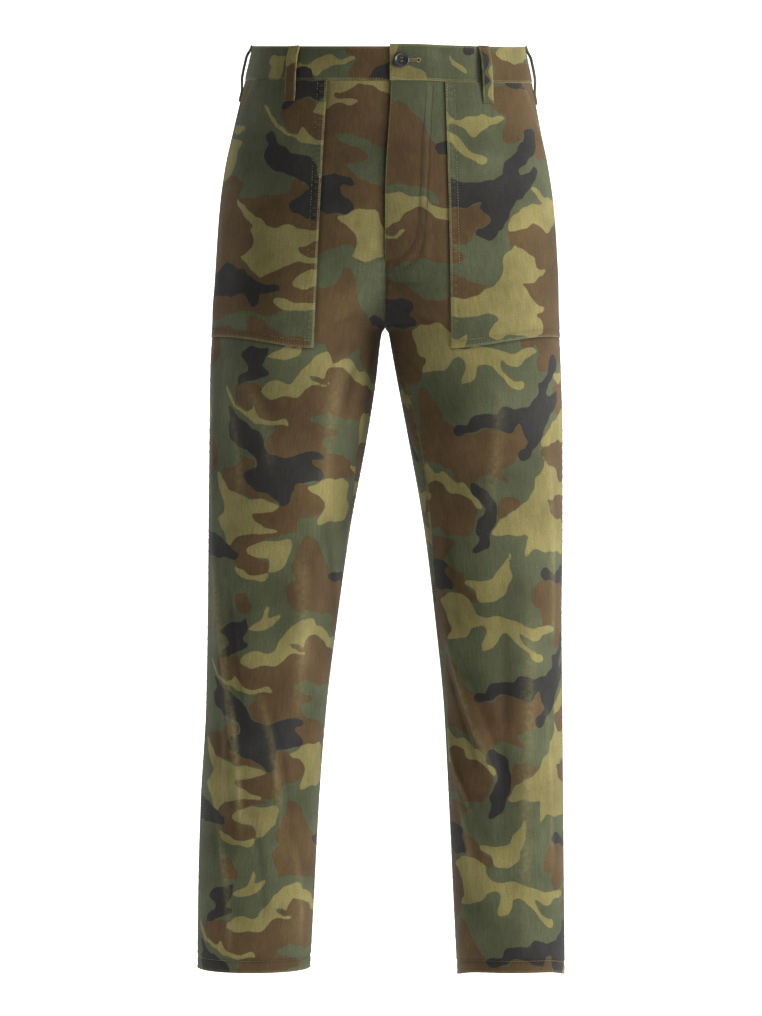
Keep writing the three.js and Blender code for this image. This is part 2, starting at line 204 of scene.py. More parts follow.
def section_at(side, z):
    """The rounded section of one half of the body, or of one leg, at heights z."""
    name = SIDE_NAME[side]
    outer, inner = read(SECTIONS, "outer_" + name, z), read(SECTIONS, "inner_" + name, z)
    front, back = read(SECTIONS, "front", z), read(SECTIONS, "back", z)
    share = np.clip((CROTCH_Z + FORK_HEIGHT - z) / FORK_HEIGHT, 0, 1) ** FORK_POWER
    fork = z >= CROTCH_Z
    half = np.where(fork, outer / (1 + share), (outer - inner) / 2)
    centre = np.where(fork, share * half, (outer + inner) / 2)
    share = np.where(fork, share, 1)
    return centre, half, (front + back) / 2, (back - front) / 2, share


def unit(angle):
    """Unit coordinates of the rounded section: 0 is its outer side, 90 degrees its front."""
    c, s = np.cos(angle), np.sin(angle)
    k = (np.abs(c) ** ROUNDNESS + np.abs(s) ** ROUNDNESS) ** (-1 / ROUNDNESS)
    return c * k, s * k


def angle_at_width(c):
    c = np.clip(c, -1, 1)
    return np.arctan2((1 - np.abs(c) ** ROUNDNESS) ** (1 / ROUNDNESS), c)


def fold_height(side, angle, z):
    turn = np.degrees(angle) % 360
    scale = math.radians(FOLD_RADIUS)
    height = np.zeros(np.broadcast(turn, z).shape)
    for leg, from_angle, from_z, to_angle, to_z, width, tall in FOLDS:
        if leg != side:
            continue
        along_x, along_z = (to_angle - from_angle) * scale, to_z - from_z
        dx, dz = (turn - from_angle) * scale, z - from_z
        length2 = along_x**2 + along_z**2
        share = (dx * along_x + dz * along_z) / length2
        off = (dx * along_z - dz * along_x) / math.sqrt(length2)
        ends = smooth(-0.12, 0.25, share) * (1 - smooth(0.75, 1.12, share))
        height = height + tall * ends * bell(off, width)
    return height


def pocket_x(side, z):
    return read(POCKET_EDGES, SIDE_NAME[side], z)


def slope_of(side, section, c, s, z):
    """How far points lie above z: the waist's tilt and the pocket's slanted bottom."""
    centre, half = section[:2]
    name = SIDE_NAME[side]
    tilt = s * np.where(s > 0, -FRONT_DROP, -BACK_RISE)
    drop = SIDE_DROP[name] * smooth(0, 1, c)
    waist = smooth(TILT_FADE_Z, WAIST_SEAM, z) * (tilt - drop)
    hem = HEM_DROP[name] * smooth(HEM_DROP_START, HEM_Z, z) * smooth(1, 0, s)
    edge = (pocket_x(side, POCKET_BOTTOM) - centre) / half
    near = 1 - smooth(0, POCKET_SLANT_REACH, np.abs(z - POCKET_BOTTOM))
    inward = np.clip((c - edge) / (1 - edge), 0, 1)
    inward = inward * inward * (3 - 2 * inward)
    return waist - hem + POCKET_SLANT * near * smooth(-0.9, 0, s) * inward


def body_point(side, angle, z, gap=0.0):
    """Points on the body, at angles round one half or leg."""
    angle, z = np.broadcast_arrays(np.asarray(angle, float), np.asarray(z, float))
    section = section_at(side, z)
    centre, half, depth, middle = section[:4]
    c, s = unit(angle)
    x = centre + half * c + gap
    y = middle - depth * s
    power = ROUNDNESS - 1
    nx = np.sign(c) * np.abs(c) ** power / half
    ny = -np.sign(s) * np.abs(s) ** power / depth
    length = np.hypot(nx, ny)
    clear = np.where(z > CROTCH_Z - 30, smooth(4, 26, x), 1)
    rise = fold_height(side, angle, z) * clear
    return np.stack(
        [
            side * (x + nx / length * rise),
            y + ny / length * rise,
            z + slope_of(side, section, c, s, z),
        ],
        axis=-1,
    )


def body_normal(side, angle, z):
    turn, step = math.radians(1.5), 3.0
    across = body_point(side, angle + turn, z) - body_point(side, angle - turn, z)
    up = body_point(side, angle, z + step) - body_point(side, angle, z - step)
    out = np.cross(across, up) * -side
    return out / np.linalg.norm(out, axis=-1, keepdims=True)


def lifted(side, angle, z, distance, gap=0.0):
    """Body points moved out by a distance."""
    distance = np.asarray(distance, float)[..., None]
    return body_point(side, angle, z, gap) + body_normal(side, angle, z) * distance


def inner_angle(side, z):
    share = section_at(side, z)[4]
    above = angle_at_width(-share)
    below = np.radians(read(INSEAMS, SIDE_NAME[side], z))
    return np.where(z >= CROTCH_Z, above, below)


def angle_at_x(side, x, z):
    centre, half = section_at(side, np.asarray(z, float))[:2]
    return angle_at_width((x - centre) / half)


def pocket_angle(side, z):
    above = np.maximum(z, POCKET_BOTTOM)
    return angle_at_x(side, pocket_x(side, above), above)


def opening_angle(z):
    return np.radians(read(OPENINGS, "angle", z))


# The print's drawn charts. Each shape is a colour and its outline, in
# steps of 1.67 pixels of the photograph from the chart's corner. Later shapes
# cover earlier ones, on a green ground. The legs' two charts repeat down the
# cloth, each time after 157 steps. The others show once.
CHART_STEP = 10 / 6
CHART_REPEAT = 157
LEG_CORNER = {RIGHT: (195, 320), LEFT: (400, 320)}
TOP_CORNER = {RIGHT: (195, 40), LEFT: (375, 40)}
REPEATS, ONCE = True, False
BROWN, KHAKI, BLACK, GREEN = "brown", "khaki", "black", "green"

LEG_RIGHT = """
    brown 25,38 38,38 40,45 45,47 60,46 68,41 74,34 78,30 84,27 90,31 98,37 104,41 108,46 106,58
    100,60 92,60 84,57 76,57 70,58 72,62 80,65 86,66 84,69 76,71 77,75 78,79 60,83 50,82 44,78 43,73
    47,68 46,64 38,60 34,56 28,52 24,45;
    brown 70,79 85,81 93,84 96,90 94,94 90,95 84,95 77,96 73,96 70,90;
    brown 57,98 68,99 75,105 77,112 72,117 62,120 60,127 50,127 44,125 36,122 34,117 42,115 50,110
    55,108;
    brown 17,88 25,88 30,82 36,84 34,92 32,98 40,103 50,109 42,108 34,106 28,104 22,104 17,98;
    brown 22,132 30,129 42,128 50,128 56,129 48,131 38,133 32,138 36,142 42,145 45,150 42,155 34,153
    26,149 23,145 20,140;
    brown 66,130 72,132 76,140 80,148 86,154 90,157 88,165 84,172 72,171 60,172 58,165 60,158 57,150
    60,142 63,135;
    brown 24,165 28,163 33,168 34,175 28,176 24,172;
    brown 72,-4 112,-4 110,24 106,32 103,30 102,22 98,17 90,15 80,14 72,12;
    brown -4,60 8,62 14,74 12,92 4,98 -6,92;
    brown -8,126 4,122 10,132 9,146 0,150 -8,142;
    green 78,118 86,122 92,132 86,144 78,138 74,128;
    khaki 44,21 47,19 52,18 55,14 57,9 58,13 57,17 60,17 64,15 64,18 60,22 54,24 48,24;
    khaki 39,42 41,39 45,37 52,37 58,38 62,33 68,26 74,21 80,19 85,19 88,22 94,25 98,30 103,32
    106,37 108,40 107,43 104,41 98,37 94,33 90,30 86,28 82,28 79,31 77,35 73,34 69,34 71,37 75,38
    80,37 79,39.5 74,39.5 68,41 64,44 61,46 54,46.5 47,47 43,46;
    khaki 18,37 21,42 24,49 29,54 33,55 35,51.5 37,56 42,60 48,60.5 54,60 57,63 52,63.5 45,63.5
    39,62 34,60.5 30,57 26,54 22,49 20,44;
    khaki 14,91 18,97 22,103 28,105 33,107 40,108 47,110 51,111 49,113 45,115 40,116 34,117 35,120
    40,124 46,126 50,127 46,129 38,128 28,129 23,133 20,136 18,128 15,121 14,118 17,116 18,109
    15,101;
    khaki 67,101 72,99 77,96 82,95 88,95 92,99 91,105 92,110 92,114 90,119 84,121 76,122 73,122
    74,118 77,113 77,108 73,105 69,103;
    khaki 31,139 33,135 38,133 45,133 52,133 57,131 59,134 57,140 55,145 50,150 45,151 45,148 42,143
    36,142;
    khaki 23,148 28,149 33,153 38,154 45,151 42,156 36,157 30,155 26,153;
    khaki 93,87 98,88 103,89 102,96 97,94;
    khaki 2,40 8,44 12,56 8,66 3,60 0,50;
    black 28,20 34,16 40,17 44,15 44,20 42,25 40,28 43,31 44,33 40,35 33,36 30,38 26,40 26,36 28,33
    32,30 31,25 28,23;
    black 20,52 23,52 25,57 32,63 38,67 41,72 42,77 46,81 54,82 62,81 68,79 73,79 77,80 77,83 72,84
    70,86 74,90 77,94 74,97 66,97 60,98 58,103 57,109 53,111 47,107 42,104 34,100 30,97 29,93 33,90
    37,87 36,82 33,79 27,76 22,73 20,68 20,63 22,58;
    black 8,127 13,128 18,132 22,137 26,141 24,145 19,142 12,142 6,138;
    black 81,152 86,151 91,153 89,157 83,156;
    black 101,66 105,64 106,69 102,70
"""
LEG_LEFT = """
    brown 12,41 17,43 21,48 24,55 28,61 33,64 38,67 42,69 48,66 56,65 64,68 70,65 73,62 75,66 75,71
    77,74 74,76 71,80 69,85 64,88 61,89 62,93 66,96 64,97 58,95 52,93 48,95 44,98 41,101 37,97 33,96
    32,91 27,88 20,85 15,84 13,70 11,55;
    brown 17,98 21,96 26,98 29,103 34,105 38,106 42,108 46,113 47,116 45,122 43,128 40,130 30,129
    24,125 19,124 16,115 17,104;
    brown 58,112 60,108 64,106 70,107 73,110 68,115 62,118 59,120;
    brown 20,131 30,131 33,135 28,140 26,145 30,148 36,151 39,156 42,162 47,166 46,169 42,169 37,166
    33,161 29,161 20,158 14,150;
    brown 78,168 79,162 82,157 90,156 98,158 104,170 98,185 92,180 88,186 84,180 84,174 80,173;
    brown 84,-3 98,-3 104,10 98,22 92,27 88,30 83,31 82,26 84,20 83,14 84,6;
    brown -6,2 8,0 12,12 16,22 12,36 4,38 -4,30;
    khaki 7,9 11,5 17,2 22,3 26,6 29,8 32,15 40,17 50,16 60,18 70,20 76,17 82,17 82,20 78,22 72,26
    68,28 64,27 60,24 60,28 64,33 70,36 74,37 75,41 72,42 67,40 63,36 58,32 54,28 50,26 47,27 46,32
    43,36 38,39 37,35 39,29 39,24 35,22 31,24 29,28 24,30 18,31 14,33 14,29 16,25 14,20 11,13;
    khaki 85,72 88,67 93,60 96,55 100,57 104,90 102,120 98,138 90,139 82,138 78,140 76,143 75,139
    76,133 76,129 66,129 58,130 55,128 59,122 61,119 66,117 72,112 78,105 81,100 82,94 85,90 86,86
    85,79;
    brown 85,79 88,76 92,73 96,73 100,76 100,96 95,96 94,90 90,88 87,84;
    brown 88,108 91,107 95,105 100,106 100,120 94,119 90,116 89,112;
    khaki 15,86 20,91 26,91 30,95 34,98 37,97 41,101 44,105 48,110 49,113 46,113 42,108 38,106
    34,105 29,103 26,98 21,96 18,98 17,103 19,106 16,107 15,100 14,93;
    khaki 66,139 67,141 66,147 67,152 66,156 64,160 63,165 59,168 54,169 48,169 46,164 43,161 40,158
    39,156 46,157 52,157 56,154 58,151 62,147 65,143;
    black 91,21 94,26 93,32 90,38 88,44 90,46 93,42 94,42 94,48 92,54 89,60 86,66 85,72 82,76 79,79
    77,83 74,85 71,82 72,78 76,75 77,73 75,70 74,66 73,62 70,64 67,68 62,68 55,65 48,65 42,68 36,70
    32,67 34,64 40,63 42,59 47,57 53,57 57,56 60,52 65,52 70,54 76,52 80,48 83,43 83,38 88,33 89,27;
    black 42,99 45,97 49,100 54,104 57,110 58,115 58,121 55,126 54,130 54,135 51,138 46,139 43,138
    46,134 47,130 45,127 47,121 50,116 50,112 47,108 43,105;
    black 20,144 25,144 29,147 27,151 30,156 31,161 26,162 20,158 19,150;
    black 84,151 88,149 92,152 94,150 97,146 102,150 101,158 92,157 86,156 84,154
"""
FRONT_RIGHT = """
    brown 76,18 120,18 120,172 112,181 100,184 76,180;
    khaki 79,21 118,21 118,33 112,30 106,27 99,27 95,29 89,31 84,31 84,34 90,36 97,35 97,37 92,39
    85,38 80,41 76,40 76,30;
    green 85,56 90,56 96,58 105,61 111,64 120,66 120,87 108,87 99,84 93,78 92,74 97,73 103,72 105,69
    101,66 94,64 88,61;
    black 74,84 82,81 90,81 95,84 95,87 88,87 86,90 90,94 95,98 95,102 90,105 85,104 74,101;
    khaki 85,107 90,105 95,102 106,101 110,104 112,110 116,118 116,126 112,131 106,133 96,131 93,129
    97,124 97,118 94,113 89,110;
    green 72,130 80,127 90,122 96,125 93,130 97,133 106,133 113,130 120,130 120,160 113,170 106,166
    99,160 97,150 96,140 90,137 87,143 84,148 72,147;
    black 105,165 113,168 120,169 120,175 107,171
"""
POCKET_RIGHT = """
    brown 54,41 57,38 62,36 68,36 74,37 82,38 82,62 75,61 70,58 66,54 62,56 56,53 53,48 52,44;
    brown 4,84 18,84 24,82 30,85 29,90 28,95 33,95 40,94 50,93 57,91 59,86 62,84 66,87 82,87 82,160
    70,161 60,162 52,163 47,166 40,164 30,163 22,165 17,167 8,170 4,150;
    brown 14,172 22,172 24,175 32,174 31,168 36,166 42,168 45,172 50,175 56,178 66,179 68,186 40,186
    12,182;
    khaki 42,39 45,42 47,46 50,50 54,53 60,57 63,55 66,53 69,57 72,60 80,61 80,64 70,63 65,62 61,59
    56,57 51,54 47,50 45,46 43,43;
    khaki 27,96 29,98 32,101 36,104 40,107 43,110 48,113 53,111 58,112 63,113 70,114 80,114 80,119
    73,121 68,123 63,124 64,128 68,130 78,130 78,133 70,134 62,134 55,135 51,137 47,140 42,142
    39,143 36,140 33,136 30,132 28,130 32,128 35,125 36,120 34,115 35,111 32,108 29,104 27,99;
    khaki 59,146 61,143 65,140 70,138 75,138 80,140 80,145 72,147 66,149 60,149;
    khaki 47,157 49,155 54,156 60,157 68,158 76,158 76,162 66,162 58,162 52,162 49,160;
    khaki 26,51 31,53 29,56 22,56 20,53;
    khaki 20,62 29,60 27,66 26,72 24,80 20,84 14,84 14,72;
    khaki 71,43 74,37 80,38 80,45 74,44;
    black 59,26 66,24 73,25 80,26 80,33 74,36 68,35 62,36 59,38 56,41 54,42 53,40 55,35 54,33 59,33;
    black 44,57 47,55 49,58 51,63 56,66 62,69 68,70 73,74 74,80 76,83 82,82 82,103 76,104 76,109
    70,108 63,106 58,103 57,99 60,96 64,94 67,91 68,88 64,85 59,83 54,80 49,78 45,76 42,71 43,66
    46,63 45,60;
    black 20,134 23,135 27,138 31,138 35,143 41,147 48,146 51,148 50,151 45,152 40,152 39,158 36,160
    34,159 31,153 27,153 20,154 12,154 10,146 16,140
"""
FRONT_LEFT = """
    green 4,18 48,18 48,64 36,63 30,56 24,46 18,40 4,42;
    brown 4,42 10,39 13,37 18,38 22,42 27,48 31,55 36,61 48,62 48,97 40,98 37,93 30,88 22,86 14,88
    4,90;
    black 36,64 39,61 46,61 46,68 39,68 37,66;
    green 4,88 14,87 22,87 30,89 35,92 38,98 30,97 26,95 18,94 4,97;
    brown 4,108 16,104 24,100 34,103 48,106 48,140 38,136 30,133 22,133 14,137 4,140;
    khaki 4,95 9,93 14,91 18,92 22,94 26,94 30,95 33,98 37,100 48,101 48,108 38,107 34,104 29,101
    24,101 19,102 16,105 14,109 10,111 4,111;
    khaki 4,115 10,117 14,116 18,113 18,115 15,118 10,119 4,118;
    green 4,139 12,137 16,134 22,132 30,131 38,134 48,136 48,157 38,156 30,155 24,152 20,148 14,146
    4,147;
    brown 4,147 14,146 20,148 24,152 30,155 38,156 48,157 48,175 42,173 38,170 33,171 26,172 24,182
    26,188 12,190 4,184;
    black 4,158 12,155 17,155 22,158 23,162 21,165 25,169 24,172 18,173 10,172 4,170;
    khaki 22,176 26,172 32,170 38,170 42,173 48,178 48,188 30,190 26,188 24,182
"""
POCKET_LEFT = """
    brown 70,30 76,27 82,27 88,25 92,34 96,42 99,50 102,60 106,70 100,72 95,71 95,64 94,57 91,54
    88,56 87,60 84,62 79,62 75,61 76,55 78,50 77,46 72,43 69,39;
    brown 40,101 50,102 55,101 60,98 63,97 66,100 70,106 69,110 65,113 60,116 58,120 54,123 49,122
    40,121;
    brown 40,124 49,126 53,129 51,133 40,133;
    brown 42,141 52,142 57,145 62,147 66,148 63,152 57,156 42,157;
    brown 79,116 84,114 90,108 98,108 103,114 108,108 114,108 116,182 98,182 98,172 96,164 96,158
    86,150 86,146 94,144 96,140 92,134 84,130 80,124;
    khaki 40,42 43,43 45,46 50,48 55,47 61,46 64,45 68,46 74,46 77,48 74,50 69,51 65,53 62,56 59,58
    56,57 53,54 49,51 46,50 40,50;
    khaki 40,53 43,54 47,57 51,60 54,64 58,67 62,69 66,71 66,74 62,75 57,72 53,70 49,67 46,63 40,59;
    khaki 80,108 83,104 88,101 94,99 100,98 106,96 112,98 112,106 105,112 102,117 99,114 96,111
    92,111 88,114 84,115 80,115;
    khaki 82,120 84,125 89,127 94,130 95,134 97,138 101,138 98,142 96,144 93,146 88,146 89,149
    91,153 95,158 100,160 99,163 96,165 98,168 100,172 99,177 92,178 82,177 75,179 69,178 68,175
    70,171 73,168 70,165 62,165 55,166 42,165 42,156 52,155 57,154 63,152 68,149 73,145 76,138
    77,130 80,127 82,124;
    khaki 42,177 50,179 55,177 54,182 50,187 42,187;
    khaki 93,89 96,90 100,94 104,96 100,99 97,96 94,92;
    black 40,84 49,84 55,86 62,86 70,84 75,81 76,76 79,72 83,68 85,64 88,60 88,56 90,54 94,55 95,59
    95,66 92,71 88,75 85,78 86,81 90,80 94,77 96,80 95,85 91,91 88,95 84,97 80,103 79,108 76,113
    73,114 72,118 68,121 64,120 61,117 62,114 66,113 69,110 69,106 65,103 62,100 63,97 60,97 55,101
    50,101 40,99;
    black 78,22 90,24 90,29 84,30 79,28
"""
BAND_RIGHT = """
    green 20,-4 124,-4 124,30 20,30;
    khaki 44,8 48,10 53,10 52,16 50,24 44,24 45,17 42,13;
    khaki 60,13 66,15 72,11 80,9 88,11 94,9 96,11 90,14 82,15 77,18 74,21 70,20 67,17 60,17;
    brown 86,2 122,0 122,26 100,26 92,21 96,13 92,8;
    black 58,20 62,16 67,17 70,20 73,26 58,26;
    black 106,19 110,15 122,15 122,26 106,26
"""
BAND_LEFT = """
    green 0,-6 112,-6 112,30 0,30;
    khaki 6,0 13,1 13,6 12,12 8,15 6,14;
    khaki 6,16 14,17 20,15 25,17 29,19 31,26 6,26;
    khaki 45,9 50,12 57,20 54,20 48,14;
    brown 69,6 76,8 80,12 92,15 100,14 100,28 72,28 74,18 70,12;
    khaki 75,7 80,4 88,4 94,6 93,12 86,14 80,13 76,10;
    black 55,2 61,3 61,9 56,8
"""
LOOP_RIGHT = """
    khaki -10,-26 10,-26 10,6 3,2 -4,4 -10,0;
    brown -10,2 -4,5 3,3 10,8 10,50 -10,50
"""
LOOP_LEFT = """
    brown -10,-26 10,-26 10,2 4,-2 -10,4;
    black -10,-14 0,-12 2,0 -3,10 2,20 -10,24;
    khaki 2,8 10,2 10,36 3,40 -2,34 4,22
"""

REPEAT_U = 520.0  # the print's repeat across the cloth
REPEAT_V = CHART_REPEAT * CHART_STEP * PIXEL_MM
COLUMN_U = {RIGHT: 0.0, LEFT: 260.0}


def grain_x(z):
    """Where the straight grain runs down the front, from the middle plane."""
    return np.interp(z, [-1020, -527, -300, -145, 20], [148, 120, 98, 82, 66])


def round_lengths(points):
    """Lengths along rows of points, from the first column."""
    steps = np.linalg.norm(np.diff(points, axis=-2), axis=-1)
    return np.concatenate([np.zeros(steps.shape[:-1] + (1,)), np.cumsum(steps, axis=-1)], axis=-1)


def seen_at(side, column, row):
    """The angle and height on the body's front that a pixel of the photograph shows."""
    x_flat = (column - AXIS_COLUMN) * PIXEL_MM
    z_flat = (AXIS_ROW - row) * PIXEL_MM
    x, z = side * x_flat, CAMERA_MM.z + z_flat
    for _ in range(4):
        place = body_point(side, angle_at_x(side, x, z), z)
        near = 1 - place[1] / CAMERA_MM.y
        x = side * (CAMERA_MM.x + x_flat * near)
        z += CAMERA_MM.z + z_flat * near - place[2]
    return float(angle_at_x(side, x, z)), float(z)


def cloth_place(side):
    """Turns a pixel of the photograph into a place on a front's flat cloth."""
    def place(column, row):
        angle, z = seen_at(side, column, row)
        angles = np.radians(np.linspace(178, 2, 89))
        points = body_point(side, angles, np.full(angles.shape, z))
        length = round_lengths(points)
        across = points[:, 0] * side
        x = float(body_point(side, angle, z)[0]) * side
        u = np.interp(x, across, length) - np.interp(grain_x(z), across, length)
        return u + COLUMN_U[side], -z

    return place


def band_point(turn, z, distance):
    """Points of the waistband: turn is 0 in front and above zero on the left."""
    left = lifted(LEFT, math.pi / 2 - np.abs(turn), z, distance, 0)
    right = lifted(RIGHT, math.pi / 2 - np.abs(turn), z, distance, 0)
    return np.where((turn > 0)[..., None], left, right)


BAND_TURNS = np.linspace(-math.pi, math.pi, 721)
BAND_LENGTHS = round_lengths(band_point(BAND_TURNS, 0 * BAND_TURNS, 0 * BAND_TURNS))
BAND_LENGTHS = BAND_LENGTHS - BAND_LENGTHS[360]


def band_place(column, row):
    """Turns a pixel of the photograph into a place on the waistband's cloth."""
    turns = np.radians(np.linspace(-88, 88, 89))
    low_z, high_z = -20.0, 20.0
    seen = {}
    for z in (low_z, high_z):
        points = band_point(turns, np.full(turns.shape, z), np.full(turns.shape, BAND_PROUD))
        near = 1 - points[:, 1] / CAMERA_MM.y
        seen[z] = (
            AXIS_COLUMN + (points[:, 0] - CAMERA_MM.x) / near / PIXEL_MM,
            AXIS_ROW - (points[:, 2] - CAMERA_MM.z) / near / PIXEL_MM,
        )
    turn = np.interp(column, seen[low_z][0], turns)
    low, high = (np.interp(turn, turns, seen[z][1]) for z in (low_z, high_z))
    z = low_z + (high_z - low_z) * (row - low) / (high - low)
    return float(np.interp(turn, BAND_TURNS, BAND_LENGTHS)), -float(z)


def rounded(points, steps=3):
    """A closed smooth line through points."""
    before, after, next_after = (np.roll(points, k, axis=0) for k in (1, -1, -2))
    lines = []
    for t in np.arange(steps) / steps:
        lines.append(
            0.5
            * (
                2 * points
                + (after - before) * t
                + (2 * before - 5 * points + 4 * after - next_after) * t**2
                + (3 * points - before - 3 * after + next_after) * t**3
            )
        )
    return np.stack(lines, axis=1).reshape(-1, 2)


def shapes_of(chart, place, left_column, top_row):
    """A chart's shapes on the flat cloth: colour and outline."""
    shapes = []
    for shape in chart.split(";"):
        colour, *pairs = shape.split()
        outline = []
        for pair in pairs:
            x, y = (float(value) for value in pair.split(","))
            outline.append(place(left_column + x * CHART_STEP, top_row + y * CHART_STEP))
        shapes.append((colour, rounded(np.array(outline))))
    return shapes


def as_drawn(column, row):
    return column / CHART_STEP, row / CHART_STEP


def wrapped(value, middle, repeat):
    return middle + (value - middle + repeat / 2) % repeat - repeat / 2


def inside_by(outline, u, v, repeats):
    """How far points lie inside a closed outline, below zero outside it."""
    low, high = outline.min(axis=0), outline.max(axis=0)
    middle = (low + high) / 2
    if repeats:
        u, v = wrapped(u, middle[0], REPEAT_U), wrapped(v, middle[1], REPEAT_V)
    result = np.full(u.shape, -12.0)
    close = (u > low[0] - 10) & (u < high[0] + 10) & (v > low[1] - 10) & (v < high[1] + 10)
    px, py = u[close], v[close]
    nearest = np.full(px.shape, 1e9)
    crossings = np.zeros(px.shape, bool)
    for (ax, ay), (bx, by) in zip(outline, np.roll(outline, -1, axis=0)):
        dx, dy = bx - ax, by - ay
        share = np.clip(((px - ax) * dx + (py - ay) * dy) / max(dx * dx + dy * dy, 1e-9), 0, 1)
        nearest = np.minimum(nearest, (px - ax - dx * share) ** 2 + (py - ay - dy * share) ** 2)
        if ay != by:
            crossings ^= ((ay > py) != (by > py)) & (px < (bx - ax) * (py - ay) / (by - ay) + ax)
    distance = np.sqrt(nearest)
    result[close] = np.clip(np.where(crossings, distance, -distance), -12, 12)
    return result


def print_fields(layers, u, v):
    """Fields above zero where each ink shows, at places on the flat cloth."""
    wobble_u = 1.1 * np.sin(v / 7.3 + 1.7 * np.sin(u / 11.0)) + 0.7 * np.sin(v / 3.7 + u / 5.1)
    wobble_v = 1.1 * np.sin(u / 6.9 + 1.9 * np.sin(v / 12.0)) + 0.7 * np.sin(u / 3.3 - v / 4.7)
    u, v = u + wobble_u, v + wobble_v
    fields = {ink: np.full(u.shape, -12.0) for ink in (BROWN, KHAKI, BLACK)}
    for shapes, repeats in layers:
        for colour, outline in shapes:
            inside = inside_by(outline, u, v, repeats)
            for ink, field in fields.items():
                fields[ink] = np.maximum(field, inside) if ink == colour else np.minimum(field, -inside)
    return fields


LEGS = (
    shapes_of(LEG_RIGHT, cloth_place(RIGHT), *LEG_CORNER[RIGHT])
    + shapes_of(LEG_LEFT, cloth_place(LEFT), *LEG_CORNER[LEFT]),
    REPEATS,
)
TOP_CHARTS = {
    RIGHT: (FRONT_RIGHT, POCKET_RIGHT, BAND_RIGHT, LOOP_RIGHT),
    LEFT: (FRONT_LEFT, POCKET_LEFT, BAND_LEFT, LOOP_LEFT),
}
FRONT_PRINT, POCKET_PRINT, BAND_PRINT, LOOP_PRINT = {}, {}, {}, {}
for side, (front_chart, pocket_chart, band_chart, loop_chart) in TOP_CHARTS.items():
    on_front, corner = cloth_place(side), TOP_CORNER[side]
    FRONT_PRINT[side] = [LEGS, (shapes_of(front_chart, on_front, *corner), ONCE)]
    POCKET_PRINT[side] = [(shapes_of(pocket_chart, on_front, *corner), ONCE)]
    BAND_PRINT[side] = [LEGS, (shapes_of(band_chart, band_place, *corner), ONCE)]
    LOOP_PRINT[side] = [(shapes_of(loop_chart, as_drawn, 0, 0), ONCE)]
PIECES = {}


def mesh_object(name, points, faces, material):
    """A mesh from points in millimetres."""
    mesh = bpy.data.meshes.new(name)
    mesh.from_pydata((np.asarray(points) / 1000).tolist(), [], faces)
    mesh.update()
    mesh.shade_smooth()
    mesh.materials.append(material)
    piece = bpy.data.objects.new(name, mesh)
    bpy.context.scene.collection.objects.link(piece)
    PIECES[name] = piece
    return piece


def add_attribute(mesh, name, values):
    attribute = mesh.attributes.new(name, "FLOAT", "POINT")
    attribute.data.foreach_set("value", np.asarray(values, np.float32).ravel())


def wall_faces(rows, columns):
    """Faces of a closed wall between two grids: outside, inside and rim."""
    layer = rows * columns
    i, j = np.meshgrid(np.arange(rows - 1), np.arange(columns - 1), indexing="ij")
    a = (i * columns + j).ravel()
    outside = np.stack([a, a + columns, a + columns + 1, a + 1], axis=1)
    inside = outside[:, ::-1] + layer
    rim = [(0, j) for j in range(columns - 1)]
    rim += [(i, columns - 1) for i in range(rows - 1)]
    rim += [(rows - 1, j) for j in range(columns - 1, 0, -1)]
    rim += [(i, 0) for i in range(rows - 1, 0, -1)]
    ids = np.array([i * columns + j for i, j in rim])
    after = np.roll(ids, -1)
    edge = np.stack([ids, after, after + layer, ids + layer], axis=1)
    return outside, inside, edge


def cloth_shell(name, outer, inner, cloth_u, cloth_v, layers, inside_material, wear_highlight_and_shade, flip):
    """A piece of printed cloth as a closed wall."""
    rows, columns = outer.shape[:2]
    outside, inside, edge = wall_faces(rows, columns)
    faces = np.concatenate([outside, inside, edge])
    if flip:
        faces = faces[:, ::-1]
    points = np.concatenate([outer.reshape(-1, 3), inner.reshape(-1, 3)])
    piece = mesh_object(name, points, faces.tolist(), CAMOUFLAGE)
    mesh = piece.data
    mesh.materials.append(inside_material)
    slots = np.zeros(len(faces), np.int32)
    slots[len(outside) : len(outside) + len(inside)] = 1
    mesh.polygons.foreach_set("material_index", slots)
    u, v = cloth_u.ravel(), cloth_v.ravel()
    for ink, field in print_fields(layers, u, v).items():
        add_attribute(mesh, "ink_" + ink, np.tile(field, 2))
    add_attribute(mesh, "wear_highlight_and_shade", np.tile(wear_highlight_and_shade.ravel(), 2))
    flat = np.stack([np.tile(u, 2), np.tile(v, 2)], axis=1) / 100
    layer = mesh.uv_layers.new(name="cloth")
    corners = np.empty(len(mesh.loops), np.int32)
    mesh.loops.foreach_get("vertex_index", corners)
    layer.data.foreach_set("uv", flat[corners].astype(np.float32).ravel())
    mesh.set_sharp_from_angle(angle=math.radians(60))
    return piece


# Helpers for the materials' nodes.
def new_material(name):
    material = bpy.data.materials.new(name)
    material.use_nodes = True
    nodes, links = material.node_tree.nodes, material.node_tree.links
    return material, nodes, links, nodes["Principled BSDF"]


def node(nodes, kind, **settings):
    made = nodes.new(kind)
    for key, value in settings.items():
        if key in made.inputs:
            made.inputs[key].default_value = value
        else:
            setattr(made, key.lower(), value)
    return made


def mix_colour(nodes, links, factor, first, second, blend="MIX"):
    mix = nodes.new("ShaderNodeMix")
    mix.data_type, mix.blend_type = "RGBA", blend
    for socket, value in ((0, factor), (6, first), (7, second)):
        if hasattr(value, "is_output"):
            links.new(value, mix.inputs[socket])
        else:
            mix.inputs[socket].default_value = value
    return mix.outputs[2]


def maths(nodes, links, operation, first, second=0.0, clamp=False):
    made = nodes.new("ShaderNodeMath")
    made.operation, made.use_clamp = operation, clamp
    for socket, value in ((0, first), (1, second)):
        if hasattr(value, "is_output"):
            links.new(value, made.inputs[socket])
        else:
            made.inputs[socket].default_value = value
    return made.outputs[0]


